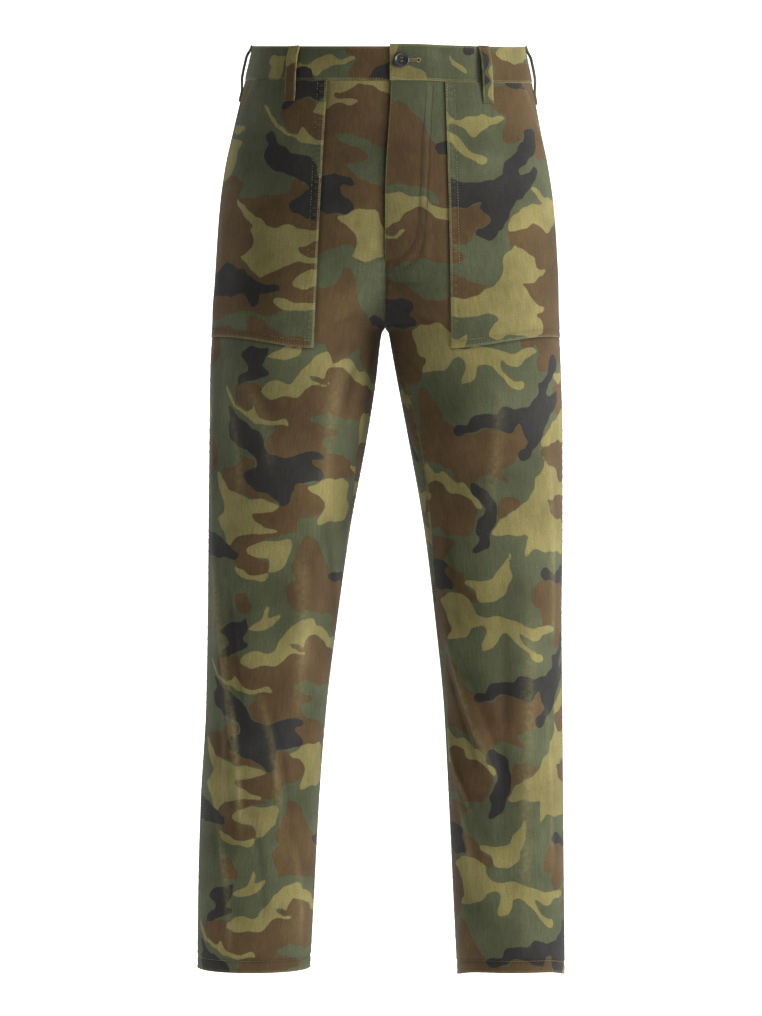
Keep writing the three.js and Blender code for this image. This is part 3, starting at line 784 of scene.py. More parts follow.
def ramp(nodes, links, value, low, high, to_low=0.0, to_high=1.0):
    made = nodes.new("ShaderNodeMapRange")
    links.new(value, made.inputs["Value"])
    for key, number in (("From Min", low), ("From Max", high), ("To Min", to_low), ("To Max", to_high)):
        made.inputs[key].default_value = number
    return made.outputs["Result"]


def rgb(red, green, blue):
    """A colour given in the 0 to 255 of a screen, as linear light."""
    def linear(value):
        value /= 255
        return value / 12.92 if value <= 0.04045 else ((value + 0.055) / 1.055) ** 2.4

    return (linear(red), linear(green), linear(blue), 1.0)


INK = {
    GREEN: rgb(76, 80, 58),
    BROWN: rgb(82, 65, 42),
    KHAKI: rgb(121, 113, 70),
    BLACK: rgb(45, 44, 42),
}
# A pale colour for rubbed wear on edges and hems. It is also painted highlight on crease ridges and
# puckers.
PALE_WEAR_AND_HIGHLIGHT = rgb(156, 146, 104)
UNDER = rgb(98, 92, 68)


def twill_bump(nodes, links, uv, strength):
    """Twill lines and an uneven hand, as a bump on the shader's normal."""
    twist = node(nodes, "ShaderNodeVectorRotate", rotation_type="Z_AXIS", Angle=math.radians(58))
    links.new(uv, twist.inputs["Vector"])
    twill = node(nodes, "ShaderNodeTexWave", wave_type="BANDS", Scale=26.0, Distortion=0.6)
    links.new(twist.outputs[0], twill.inputs["Vector"])
    slub = node(nodes, "ShaderNodeTexNoise", Scale=18.0, Detail=4.0, Roughness=0.6)
    links.new(uv, slub.inputs["Vector"])
    lumps = maths(nodes, links, "MULTIPLY", slub.outputs["Fac"], 1.6)
    height = maths(nodes, links, "ADD", twill.outputs["Fac"], lumps)
    bump = node(nodes, "ShaderNodeBump", Strength=strength, Distance=0.0004)
    links.new(height, bump.inputs["Height"])
    return bump.outputs["Normal"], slub.outputs["Fac"]


def camouflage_material():
    material, nodes, links, shader = new_material("camouflage_twill")
    uv = node(nodes, "ShaderNodeUVMap", uv_map="cloth").outputs["UV"]
    normal, slub = twill_bump(nodes, links, uv, 0.5)
    grain = node(nodes, "ShaderNodeTexNoise", Scale=75.0, Detail=2.0, Roughness=0.7)
    links.new(uv, grain.inputs["Vector"])
    long_way = node(nodes, "ShaderNodeMapping", Scale=(38.0, 5.0, 1.0))
    links.new(uv, long_way.inputs["Vector"])
    streak = node(nodes, "ShaderNodeTexNoise", Scale=1.0, Detail=3.0, Roughness=0.65)
    links.new(long_way.outputs["Vector"], streak.inputs["Vector"])
    cloud = node(nodes, "ShaderNodeTexNoise", Scale=1.4, Detail=3.0, Roughness=0.55)
    links.new(uv, cloud.inputs["Vector"])
    colour = INK[GREEN]
    for ink in (BROWN, KHAKI, BLACK):
        field = node(nodes, "ShaderNodeAttribute", attribute_name="ink_" + ink).outputs["Fac"]
        ragged = maths(nodes, links, "ADD", field, ramp(nodes, links, slub, 0.3, 0.7, -0.25, 0.25))
        shows = ramp(nodes, links, ragged, -0.35, 0.35)
        colour = mix_colour(nodes, links, shows, colour, INK[ink])
    light = ramp(nodes, links, cloud.outputs["Fac"], 0.3, 0.7, 0.74, 1.26)
    fine = ramp(nodes, links, grain.outputs["Fac"], 0.3, 0.7, 0.76, 1.24)
    faded = ramp(nodes, links, streak.outputs["Fac"], 0.3, 0.7, 0.86, 1.14)
    value = maths(nodes, links, "MULTIPLY", maths(nodes, links, "MULTIPLY", light, fine), faded)
    tint = nodes.new("ShaderNodeHueSaturation")
    links.new(colour, tint.inputs["Color"])
    # The cloth's wear and light attribute, in two parts. Below zero it darkens the colour: painted shade
    # along seams, beside the fly and the pockets, in the hem's groove and in crease troughs. Above zero it
    # mixes in the pale colour: real wear on edges and hems, and painted highlight on crease ridges and
    # puckers.
    wear_highlight_and_shade = node(nodes, "ShaderNodeAttribute", attribute_name="wear_highlight_and_shade").outputs["Fac"]
    shaded = ramp(nodes, links, wear_highlight_and_shade, -1.0, 0.0, 0.45, 1.0)
    links.new(maths(nodes, links, "MULTIPLY", value, shaded), tint.inputs["Value"])
    patchy = ramp(nodes, links, slub, 0.35, 0.65, 0.35, 1.0)
    rubbed_and_highlit = maths(nodes, links, "MULTIPLY", wear_highlight_and_shade, patchy, clamp=True)
    share = maths(nodes, links, "MULTIPLY", rubbed_and_highlit, 0.6)
    final = mix_colour(nodes, links, share, tint.outputs["Color"], PALE_WEAR_AND_HIGHLIGHT)
    links.new(final, shader.inputs["Base Color"])
    links.new(ramp(nodes, links, slub, 0.3, 0.7, 0.78, 0.9), shader.inputs["Roughness"])
    links.new(normal, shader.inputs["Normal"])
    shader.inputs["Sheen Weight"].default_value = 0.03
    shader.inputs["Sheen Roughness"].default_value = 0.5
    shader.inputs["Specular IOR Level"].default_value = 0.15
    return material


def under_material():
    """The cloth's inside, where the print barely shows through."""
    material, nodes, links, shader = new_material("twill_inside")
    uv = node(nodes, "ShaderNodeUVMap", uv_map="cloth").outputs["UV"]
    normal, slub = twill_bump(nodes, links, uv, 0.5)
    colour = UNDER
    for ink in (BROWN, KHAKI, BLACK):
        field = node(nodes, "ShaderNodeAttribute", attribute_name="ink_" + ink).outputs["Fac"]
        shows = maths(nodes, links, "MULTIPLY", ramp(nodes, links, field, -0.8, 0.8), 0.35)
        colour = mix_colour(nodes, links, shows, colour, INK[ink])
    final = mix_colour(nodes, links, ramp(nodes, links, slub, 0.3, 0.7, 0.0, 0.25), colour, INK[GREEN])
    links.new(final, shader.inputs["Base Color"])
    links.new(normal, shader.inputs["Normal"])
    shader.inputs["Roughness"].default_value = 0.9
    return material


def thread_material(name, colour):
    material, nodes, links, shader = new_material(name)
    place = node(nodes, "ShaderNodeTexCoord").outputs["Object"]
    twist = node(nodes, "ShaderNodeTexWave", Scale=900.0, Distortion=2.0)
    links.new(place, twist.inputs["Vector"])
    fade = node(nodes, "ShaderNodeTexNoise", Scale=60.0, Detail=2.0)
    links.new(place, fade.inputs["Vector"])
    dark = tuple(channel * 0.6 for channel in colour[:3]) + (1.0,)
    final = mix_colour(nodes, links, ramp(nodes, links, fade.outputs["Fac"], 0.35, 0.65), dark, colour)
    links.new(final, shader.inputs["Base Color"])
    bump = node(nodes, "ShaderNodeBump", Strength=0.4, Distance=0.0002)
    links.new(twist.outputs["Fac"], bump.inputs["Height"])
    links.new(bump.outputs["Normal"], shader.inputs["Normal"])
    shader.inputs["Roughness"].default_value = 0.7
    return material


def button_material():
    material, nodes, links, shader = new_material("button_plastic")
    place = node(nodes, "ShaderNodeTexCoord").outputs["Object"]
    swirl = node(nodes, "ShaderNodeTexNoise", Scale=220.0, Detail=3.0, Distortion=1.5)
    links.new(place, swirl.inputs["Vector"])
    cloudy = ramp(nodes, links, swirl.outputs["Fac"], 0.35, 0.7)
    final = mix_colour(nodes, links, cloudy, rgb(28, 28, 30), rgb(58, 57, 60))
    links.new(final, shader.inputs["Base Color"])
    links.new(ramp(nodes, links, swirl.outputs["Fac"], 0.3, 0.7, 0.28, 0.42), shader.inputs["Roughness"])
    shader.inputs["Coat Weight"].default_value = 0.25
    return material


CAMOUFLAGE = camouflage_material()
UNDERSIDE = under_material()
THREAD = thread_material("olive_thread", rgb(142, 130, 86))
# Dark thread for the fly's stitches. The same colour is painted shade in the buttonhole's slit.
DARK_THREAD_AND_SLIT_SHADE = thread_material("dark_thread_and_slit_shade", rgb(46, 40, 28))
PLASTIC = button_material()

# Panels: how finely their grids are cut, how deep seams and the hem's stitches
# sink and pucker the cloth, and where the backs take their print from.
ROW_STEP = 3.4
INNER_COLUMNS = 40
POCKET_COLUMNS = 44
SIDE_COLUMNS = 9
BACK_COLUMNS = 76
SEAM_DIP = 0.6
SEAM_PUCKER = 0.55
HEM_GROOVE = 0.5
BACK_SHIFT_U = 160
BACK_SHIFT_V = {LEFT: 95, RIGHT: 40}


def spread(start, end, columns):
    """Angles evenly spread between two arrays, as columns."""
    share = np.linspace(0, 1, columns + 1)
    return lerp(start[:, None], end[:, None], share[None, :])


def row_heights(top, bottom, step=ROW_STEP, extra=()):
    count = max(2, round((top - bottom) / step) + 1)
    heights = np.unique(np.concatenate([np.linspace(top, bottom, count), extra]))
    return heights[::-1]


BELOW_POCKET = POCKET_BOTTOM - np.array([0.0, 1.2, 2.6, 4.2])


def panel_heights():
    fork = CROTCH_Z + 26 * (1 - np.cos(np.linspace(0, math.pi / 2, 12))) ** 1.5
    extra = np.concatenate([fork, BELOW_POCKET, [CROTCH_Z - 1.2, HEM_STITCH]])
    return row_heights(WAIST_SEAM - SEAM_GAP / 2, HEM_Z, extra=extra)


def fly_edge(z):
    """How far the fly's edge lies past the middle."""
    return FLY_TOP_EDGE * smooth(FLY_EDGE_END, 0, z)


def fly_under(z):
    """How far the right front runs past the middle, under the fly."""
    return (fly_edge(z) + FLY_TUCK) * smooth(SHIELD_BOTTOM, FLY_TUCK_END, z)


def front_angles(side, z):
    reach = fly_edge(z) if side == LEFT else -fly_under(z)
    start = np.where(z > FLY_BOTTOM, angle_at_x(side, reach, z), inner_angle(side, z))
    edge = pocket_angle(side, z)
    opening = opening_angle(z)
    return np.concatenate(
        [
            spread(start, edge, INNER_COLUMNS)[:, :-1],
            spread(edge, opening, POCKET_COLUMNS)[:, :-1],
            spread(opening, np.full(z.shape, OUTSEAM), SIDE_COLUMNS),
        ],
        axis=1,
    )


def back_angles(side, z):
    start = OUTSEAM
    inseam = np.radians(read(INSEAMS, SIDE_NAME[side], z)) - 2 * math.pi
    settled = lerp(-math.pi / 2, inseam, smooth(WAIST_SEAM, SETTLED_Z, z))
    end = np.where(z >= CROTCH_Z, -inner_angle(side, z), inseam)
    share = np.linspace(0, 1, BACK_COLUMNS + 1)[None, :]
    return lerp(start, settled[:, None], share) + (end - settled)[:, None] * share**4


def fly_height(side, angle, z):
    if side == RIGHT:
        return np.zeros(angle.shape)
    centre, half = section_at(side, z)[:2]
    x = centre + half * unit(angle)[0]
    return FLY_RAISE * smooth(FLY_BOTTOM, SHIELD_BOTTOM, z) * (1 - smooth(FLY_FLAT, FLY_RAMP, x))


def swayed(u, z):
    """A back's places, bent in waves so that its print is not the front's again."""
    sway = 9 * np.sin(z / 19.0) + 6 * np.sin(z / 8.3 + u / 40) + 5 * np.sin(z / 47.0 + 1)
    return sway - u, -z + 7 * np.sin(u / 21.0) + 4 * np.sin(u / 9.0 + z / 60)


def cloth_places(side, angle, z, reverse):
    """Places on the flat cloth of a panel's points."""
    points = body_point(side, angle, z)
    length = round_lengths(points)
    across = points[..., 0] * side
    u = np.empty(length.shape)
    for i in range(len(length)):
        order = np.argsort(across[i])
        u[i] = length[i] - np.interp(grain_x(z[i, 0]), across[i][order], length[i][order])
    return swayed(u, z) if reverse else (u, -z)


# Small creases on the fronts, in pixels of the photograph, each with its leg,
# its half width and its height in millimetres.
FRONT_CREASES = [
    (RIGHT, "214,545 222,640 236,760 240,840", 4.5, 3.0),
    (RIGHT, "226,560 234,640 246,740", 4.0, -1.4),
    (RIGHT, "213,800 226,880 230,960", 5.0, 1.6),
    (RIGHT, "300,540 302,640 296,720", 9.0, 1.5),
    (RIGHT, "345,350 330,420 322,520", 8.0, 1.3),
    (RIGHT, "365,345 352,380 346,420", 5.0, -1.5),
    (RIGHT, "372,300 350,318 330,326", 4.0, -1.0),
    (RIGHT, "318,500 332,560 336,640", 6.0, -1.2),
    (RIGHT, "258,690 274,760 282,850", 6.0, 1.4),
    (RIGHT, "268,700 286,770 294,860", 5.0, -1.1),
    (RIGHT, "240,372 262,420 270,470", 6.0, 1.2),
    (RIGHT, "228,400 238,450 240,520", 5.0, 1.3),
    (RIGHT, "250,800 262,870 264,930", 6.0, -1.2),
    (RIGHT, "290,830 300,890 300,950", 7.0, 1.2),
    (LEFT, "452,655 470,715 493,775", 4.0, 2.2),
    (LEFT, "447,665 462,720 482,780", 4.0, -1.6),
    (LEFT, "450,745 464,790 477,825", 3.5, 1.6),
    (LEFT, "456,760 468,795 477,825", 3.5, -1.4),
    (LEFT, "458,800 470,850 474,910", 5.0, 1.6),
    (LEFT, "527,560 528,700 524,840 526,950", 9.0, 1.6),
    (LEFT, "505,600 506,720 500,860", 8.0, -1.2),
    (LEFT, "546,430 552,540 553,660", 6.0, 1.4),
    (LEFT, "395,345 412,420 432,540", 6.0, 1.3),
    (LEFT, "385,330 400,352 420,372", 4.0, -1.5),
    (LEFT, "392,300 420,318 440,322", 4.0, -1.0),
    (LEFT, "440,470 450,560 462,640", 6.0, -1.1),
    (LEFT, "500,380 496,450 486,520", 7.0, 1.2),
    (LEFT, "545,700 550,790 552,880", 5.0, 1.3),
    (LEFT, "389,283.5 405,284 424,283", 2.0, -1.2),
    (LEFT, "388,262 396,250 398,238", 3.0, 0.9),
    (LEFT, "433.5,84 430.6,141 426.3,220 424.3,241 416,261 400,270.5 390,272", 1.7, -0.8),
    (LEFT, "426.9,84 423,141 419.3,220 417,238 404,257 396,261 388,262", 1.7, -0.8),
    (LEFT, "391,262 402,263 412,252", 2.5, 0.8),
    (LEFT, "386,251 400,253 409,246", 2.5, 0.7),
    (LEFT, "386,236 398,239 410,233", 2.5, -0.6),
]

# Small creases on the backs: leg, degrees and height at both ends, half width
# and height.
BACK_CREASES = [
    (RIGHT, -88, -235, -50, -262, 5, -1.6),
    (RIGHT, -96, -262, -54, -292, 5, 1.4),
    (RIGHT, -118, -322, -62, -352, 5, -2.0),
    (RIGHT, -122, -346, -70, -378, 5, 1.6),
    (RIGHT, -140, -372, -88, -420, 6, -1.6),
    (RIGHT, -46, -560, -100, -612, 5, 2.0),
    (RIGHT, -40, -600, -112, -634, 5, -1.9),
    (RIGHT, -48, -640, -120, -668, 5, 1.8),
    (RIGHT, -60, -676, -118, -700, 6, -1.5),
    (RIGHT, -36, -470, -30, -700, 6, 1.5),
    (RIGHT, -84, -760, -98, -960, 8, 1.5),
    (RIGHT, -58, -800, -50, -980, 7, -1.3),
    (RIGHT, -130, -780, -122, -940, 7, 1.2),
    (LEFT, -86, -240, -48, -270, 5, -1.5),
    (LEFT, -98, -268, -50, -300, 5, 1.5),
    (LEFT, -120, -330, -58, -356, 5, -1.9),
    (LEFT, -126, -352, -74, -386, 5, 1.6),
    (LEFT, -138, -380, -92, -428, 6, -1.5),
    (LEFT, -42, -566, -104, -606, 5, 1.9),
    (LEFT, -44, -604, -110, -642, 5, -2.0),
    (LEFT, -52, -646, -118, -664, 5, 1.6),
    (LEFT, -56, -684, -122, -710, 6, -1.4),
    (LEFT, -34, -450, -32, -660, 6, 1.4),
    (LEFT, -80, -740, -92, -950, 8, 1.4),
    (LEFT, -62, -820, -54, -990, 7, -1.3),
    (LEFT, -128, -800, -124, -930, 7, 1.3),
]


def photo_line(side, text, steps=12):
    """Angles and heights along a smooth line drawn on the photograph."""
    pixels = np.array([[float(value) for value in pair.split(",")] for pair in text.split()])
    at = np.arange(len(pixels))
    fine = np.linspace(0, len(pixels) - 1, steps * (len(pixels) - 1) + 1)
    slope = np.gradient(pixels, axis=0)
    k = np.clip(fine.astype(int), 0, len(pixels) - 2)
    t = (fine - at[k])[:, None]
    bend = t * t * (3 - 2 * t)
    line = lerp(pixels[k], pixels[k + 1], bend)
    line += slope[k] * t * (1 - t) ** 2 + slope[k + 1] * t * t * (t - 1)
    places = np.array([seen_at(side, column, row) for column, row in line])
    return places[:, 0], places[:, 1]


def crease_lines(side, front):
    """The creases of a front or a back as lines over the body, with their sizes."""
    lines = []
    if front:
        for leg, text, width, height in FRONT_CREASES:
            if leg == side:
                angle, z = photo_line(side, text, 4)
                lines.append((angle * FOLD_RADIUS, z, width, height))
        return lines
    for leg, from_angle, from_z, to_angle, to_z, width, height in BACK_CREASES:
        if leg == side:
            share = np.linspace(0, 1, 7)
            angle = np.radians(lerp(from_angle, to_angle, share))
            z = lerp(from_z, to_z, share) - 7 * np.sin(share * math.pi)
            lines.append((angle * FOLD_RADIUS, z, width, height))
    return lines


def crease_height(lines, angle, z):
    """How far the small creases raise a panel's points."""
    x = angle * FOLD_RADIUS
    result = np.zeros(angle.shape)
    for line_x, line_z, width, height in lines:
        nearest = np.full(angle.shape, 1e9)
        share = np.zeros(angle.shape)
        for k in range(len(line_x) - 1):
            dx, dz = line_x[k + 1] - line_x[k], line_z[k + 1] - line_z[k]
            part = np.clip(((x - line_x[k]) * dx + (z - line_z[k]) * dz) / (dx * dx + dz * dz), 0, 1)
            far = (x - line_x[k] - dx * part) ** 2 + (z - line_z[k] - dz * part) ** 2
            share = np.where(far < nearest, (k + part) / (len(line_x) - 1), share)
            nearest = np.minimum(nearest, far)
        ends = np.sin(math.pi * np.clip(share, 0.02, 0.98)) ** 0.8
        uneven = 0.8 + 0.2 * np.sin(z / 13.0 + height * 5)
        result += height * uneven * ends * np.exp(-nearest / width**2)
    return result


def from_sides(side, angle, z):
    """Distances of a panel's points from its two side edges."""
    length = round_lengths(body_point(side, angle, z))
    return length, length[:, -1:] - length


def length_from(side, angle, z, column):
    """Distances round a panel past one of its columns."""
    length = round_lengths(body_point(side, angle, z))
    return length - length[:, column : column + 1]


def panel_point(side, angle, z, distance):
    """Body points moved out, but not sideways where the halves meet."""
    point = body_point(side, angle, z)
    moved = body_normal(side, angle, z) * np.asarray(distance)[..., None]
    moved[..., 0] *= smooth(0, 9, np.abs(point[..., 0]))
    return point + moved


def panel(name, side, angles_of, raise_of, layers, offset, reverse):
    z_row = panel_heights()
    angle = angles_of(side, z_row)
    z = np.broadcast_to(z_row[:, None], angle.shape)
    raised = raise_of(side, angle, z)
    from_first, from_last = from_sides(side, angle, z)
    near_edge = np.minimum(from_first, from_last)
    dip = -SEAM_DIP * bell(near_edge, 1.5) * (raised < 0.2)
    pucker = SEAM_PUCKER * bell(near_edge - 4.5, 3.5) * np.sin(z / 1.6 + 1.3 * np.sin(z / 9.0))
    creases = crease_height(crease_lines(side, not reverse), angle, z)
    creases *= smooth(0, 12, near_edge) * smooth(8, 30, np.abs(body_point(side, angle, z)[..., 0]))
    height = raised + dip + creases + pucker * smooth(WAIST_SEAM, WAIST_SEAM - 12, z)
    hem_groove = bell(z - HEM_STITCH, 1.8) * HEM_GROOVE
    outer = panel_point(side, angle, z, height - hem_groove)
    thick = np.where(z <= HEM_STITCH, HEM_CLOTH, CLOTH)
    inner = panel_point(side, angle, z, raised + creases - thick)
    u, v = cloth_places(side, angle, z, reverse)
    # Pale wear along the seams and at the hem's edge.
    wear_highlight_and_shade = 0.6 * bell(near_edge, 1.2) + 0.5 * bell(z - HEM_Z, 2.0)
    # Painted shade in a band beside the seams below the fly, and in the hem's stitch groove.
    wear_highlight_and_shade -= 0.4 * bell(near_edge - 3, 1.8) * (z < FLY_BOTTOM) + hem_groove
    # Painted highlight on crease ridges and painted shade in crease troughs.
    wear_highlight_and_shade += 0.4 * np.clip(creases, 0, 1.5) + 0.5 * np.clip(creases, -1.2, 0)
    # Pale on the seams' puckers: wear and painted highlight together.
    wear_highlight_and_shade += 0.55 * np.clip(pucker, 0, 1) * (z < FLY_BOTTOM)
    # Painted shadow of the pocket beside its inner edge and below its bottom.
    if not reverse:
        past_pocket = length_from(side, angle, z, INNER_COLUMNS)
        pocket_shadow_beside = bell(past_pocket + 1.5, 2.2) * (past_pocket < 1) * (z > POCKET_BOTTOM)
        below = bell(POCKET_BOTTOM - z - 1.0, 1.8)
        below *= (past_pocket > -1) * (z < POCKET_BOTTOM + 1)
        wear_highlight_and_shade -= 0.75 * pocket_shadow_beside + 0.75 * below
    # Painted shade on the right front beside the fly's edge.
    if side == RIGHT and not reverse:
        under_fly = body_point(side, angle, z)[..., 0] - fly_edge(z)
        wear_highlight_and_shade -= 0.9 * bell(under_fly, 7.0) * (z > FLY_BOTTOM)
    flip = side == RIGHT
    return cloth_shell(name, outer, inner, u + offset[0], v + offset[1], layers, UNDERSIDE, wear_highlight_and_shade, flip)


def no_raise(side, angle, z):
    return np.zeros(angle.shape)


for side in (LEFT, RIGHT):
    word = SIDE_NAME[side]
    front_offset = (COLUMN_U[side], 0)
    panel("cloth_front_" + word, side, front_angles, fly_height, FRONT_PRINT[side], front_offset, False)
    back_offset = (COLUMN_U[side] + BACK_SHIFT_U, BACK_SHIFT_V[side])
    panel("cloth_back_" + word, side, back_angles, no_raise, [LEGS], back_offset, True)


# Patch pockets: the outer rows of stitches, from their inner edge and bottom.
POCKET_SIDE_ROW = 10.0
POCKET_LOW_ROW = 8.0


def pocket(side):
    z_row = row_heights(WAIST_SEAM - SEAM_GAP / 2, POCKET_BOTTOM, 1.5)
    angle = spread(pocket_angle(side, z_row), opening_angle(z_row), 56)
    z = np.broadcast_to(z_row[:, None], angle.shape)
    from_inner, from_outer = from_sides(side, angle, z)
    from_bottom = np.abs(z - POCKET_BOTTOM)
    edge = np.minimum(np.minimum(from_inner, from_outer), from_bottom)
    base = PATCH_GAP + PATCH_CLOTH
    roll = -0.5 * bell(edge, 1.1)
    channel = -0.4 * bell(from_inner - POCKET_SIDE_ROW, 1.5)
    channel -= 0.35 * bell(from_bottom - POCKET_LOW_ROW, 1.5)
    ripple = np.sin(z / 1.16 + 1.4 * np.sin(z / 17.0)) * (0.7 + 0.3 * np.sin(z / 6.1))
    band = bell(from_inner - 6.5, 3.6)
    under = bell(from_bottom - 5, 3.2)
    pucker = 0.32 * ripple * band + 0.15 * np.sin(from_inner / 1.5 + np.sin(from_inner / 13)) * under
    belly = 1.2 * smooth(8, 50, from_inner) * smooth(0, 40, from_outer) * smooth(0, 40, from_bottom)
    belly = belly * (1 - smooth(-70, WAIST_SEAM, z))
    outer = lifted(side, angle, z, base + roll + channel + pucker + belly)
    inner = lifted(side, angle, z, np.full(z.shape, PATCH_GAP))
    whole = front_angles(side, z_row)
    points = body_point(side, whole, np.broadcast_to(z_row[:, None], whole.shape))
    length = round_lengths(points)
    start = length[:, INNER_COLUMNS : INNER_COLUMNS + 1]
    grain = [[np.interp(grain_x(h), points[i, :, 0] * side, length[i])] for i, h in enumerate(z_row)]
    u = start + from_inner - np.array(grain) + COLUMN_U[side]
    # Pale wear on the pocket's edges. The pale colour on its ripples is wear and painted highlight
    # together.
    wear_highlight_and_shade = 0.85 * bell(edge, 0.9) + 0.3 * np.clip(ripple, 0, 1) * band
    # Painted shade along the pocket's inner and lower stitch channels.
    wear_highlight_and_shade -= 0.3 * bell(from_inner - POCKET_SIDE_ROW, 1.6)
    wear_highlight_and_shade -= 0.3 * bell(from_bottom - POCKET_LOW_ROW, 1.6)
    name = "cloth_pocket_" + SIDE_NAME[side]
    return cloth_shell(name, outer, inner, u, -z, POCKET_PRINT[side], UNDERSIDE, wear_highlight_and_shade, side == RIGHT)


pocket(RIGHT)
pocket(LEFT)


def fly_shield():
    z_row = row_heights(WAIST_SEAM - SEAM_GAP / 2, SHIELD_BOTTOM, 4.0)
    start = angle_at_x(LEFT, fly_under(z_row) + SEAM_GAP, z_row)
    end = angle_at_x(LEFT, SHIELD_WIDTH, z_row)
    angle = spread(start, end, 12)
    z = np.broadcast_to(z_row[:, None], angle.shape)
    length = round_lengths(body_point(LEFT, angle, z))
    outer = lifted(LEFT, angle, z, np.zeros(z.shape))
    inner = lifted(LEFT, angle, z, np.full(z.shape, -CLOTH))
    return cloth_shell(
        "cloth_fly_shield", outer, inner, length + 330, -z + 20, [LEGS], UNDERSIDE, np.zeros(z.shape), False
    )


fly_shield()


# Waistband.
BAND_COLUMNS = 150
BAND_ROWS = 17


def band_turn(x):
    return float(math.pi / 2 - angle_at_x(LEFT, x, 0.0))


def waistband(name, start, end, top, raise_of, layers):
    turn_row = np.linspace(start, end, BAND_COLUMNS)
    z_row = np.linspace(top, WAIST_SEAM + SEAM_GAP / 2, BAND_ROWS)
    turn, z = np.meshgrid(turn_row, z_row)
    length = np.interp(turn, BAND_TURNS, BAND_LENGTHS)
    from_edge = np.minimum(top - z, z - WAIST_SEAM)
    from_end = np.abs(length - length[0, 0])
    edge = np.minimum(from_edge, from_end)
    roll = -0.55 * bell(edge, 1.3)
    channel = -0.35 * bell(z - WAIST_SEAM - 3, 1.4)
    ripple = 0.25 * np.sin(length / 9.0 + 2.2 * np.sin(length / 31.0)) * bell(z + 16, 9)
    height = BAND_PROUD + raise_of(turn)
    outer = band_point(turn, z, height + roll + channel + ripple)
    inner = band_point(turn, z, height - BAND_CLOTH + 0 * z)
    wear_highlight_and_shade = 0.85 * bell(edge, 1.3)
    flip = start < end
    return cloth_shell(name, outer, inner, length, -z, layers, CAMOUFLAGE, wear_highlight_and_shade, flip)


def lap_raise(turn):
    return BAND_RAISE * (1 - smooth(band_turn(BAND_FLAT), band_turn(BAND_RAMP), turn))


def no_lap(turn):
    return np.zeros(turn.shape)


BAND_END = math.pi - 0.001
waistband("cloth_band_left", band_turn(BAND_EDGE), BAND_END, BAND_TOP["left"], lap_raise, BAND_PRINT[LEFT])
waistband("cloth_band_right", band_turn(BAND_LAP), -BAND_END, BAND_TOP["right"], no_lap, BAND_PRINT[RIGHT])

# Belt loops: height, as a share of the waistband's top above zero, and how
# far they stand off.
LOOP_BOTTOM = -44.0
LOOP_OVER = 1.02
LOOP_CROWN = 0.45
LOOP_PATH = table(
    "z lift",
    [
        (LOOP_OVER, 0),
        (0.8, 0.1),
        (0.6, 0.55),
        (0.35, 0.95),
        (0, 1),
        (-8, 1),
        (-16, 0.9),
        (-23, 0.6),
        (-30, 0.15),
        (-34, 0),
        (LOOP_BOTTOM, 0),
    ],
)


def belt_loop(name, side, angle, seat, layers, offset):
    top = BAND_TOP[SIDE_NAME[side]]
    z_row = row_heights(LOOP_OVER * top, LOOP_BOTTOM, 1.3)
    lift = read(LOOP_PATH, "lift", np.where(z_row > 0, z_row / top, z_row))
    out = body_normal(side, np.array(angle), np.array(0.0))
    out[2] = 0
    out /= np.linalg.norm(out)
    across = np.array([-out[1], out[0], 0.0])
    middle = body_point(side, angle, 0.0, 0)
    base = np.where(z_row > WAIST_SEAM, BAND_PROUD + SEAM_GAP, seat)
    share = np.linspace(-0.5, 0.5, 11)
    centre = body_point(side, np.full(z_row.shape, angle), z_row, 0)
    centre = centre - np.outer((centre - middle) @ across, across)
    away = lerp(base, BAND_PROUD + LOOP_GAP, lift)
    crown = LOOP_CROWN * (1 - (2 * share) ** 4)
    ends = bell(z_row - LOOP_BOTTOM - 1, 1.5) + bell(z_row - top, 1.5)
    thick = LOOP_CLOTH - LOOP_CROWN + crown[None, :] - 0.3 * ends[:, None]
    grid = centre[:, None, :] + (share * LOOP_WIDTH)[None, :, None] * across
    inner = grid + away[:, None, None] * out
    outer = inner + thick[..., None] * out
    z, s = np.meshgrid(z_row, share, indexing="ij")
    wear_highlight_and_shade = 0.8 * bell((0.5 - np.abs(s)) * LOOP_WIDTH, 1.2)
    across_loop = s * LOOP_WIDTH + offset[0]
    return cloth_shell(name, outer, inner, across_loop, -z + offset[1], layers, CAMOUFLAGE, wear_highlight_and_shade, True)


# Each belt loop: its angle, what it is sewn on, its print and where that starts.
ON_PANEL = SEAM_GAP
ON_POCKET = PATCH_GAP + PATCH_CLOTH + SEAM_GAP
FRONT_LOOP = {RIGHT: float(angle_at_x(RIGHT, 101.0, 0.0)), LEFT: float(angle_at_x(LEFT, 109.7, 0.0))}
SIDE_LOOP, BACK_LOOP = math.radians(-4), math.radians(-90)
LOOPS = [
    ("loop_front_right", RIGHT, FRONT_LOOP[RIGHT], ON_POCKET, LOOP_PRINT[RIGHT], (0, 0)),
    ("loop_front_left", LEFT, FRONT_LOOP[LEFT], ON_POCKET, LOOP_PRINT[LEFT], (0, 0)),
    ("loop_side_right", RIGHT, SIDE_LOOP, ON_PANEL, [LEGS], (45, 420)),
    ("loop_side_left", LEFT, SIDE_LOOP, ON_PANEL, [LEGS], (60, 430)),
    ("loop_back", LEFT, BACK_LOOP, ON_PANEL, [LEGS], (80, 300)),
]
for loop, side, angle, seat, layers, offset in LOOPS:
    belt_loop("cloth_" + loop, side, angle, seat, layers, offset)


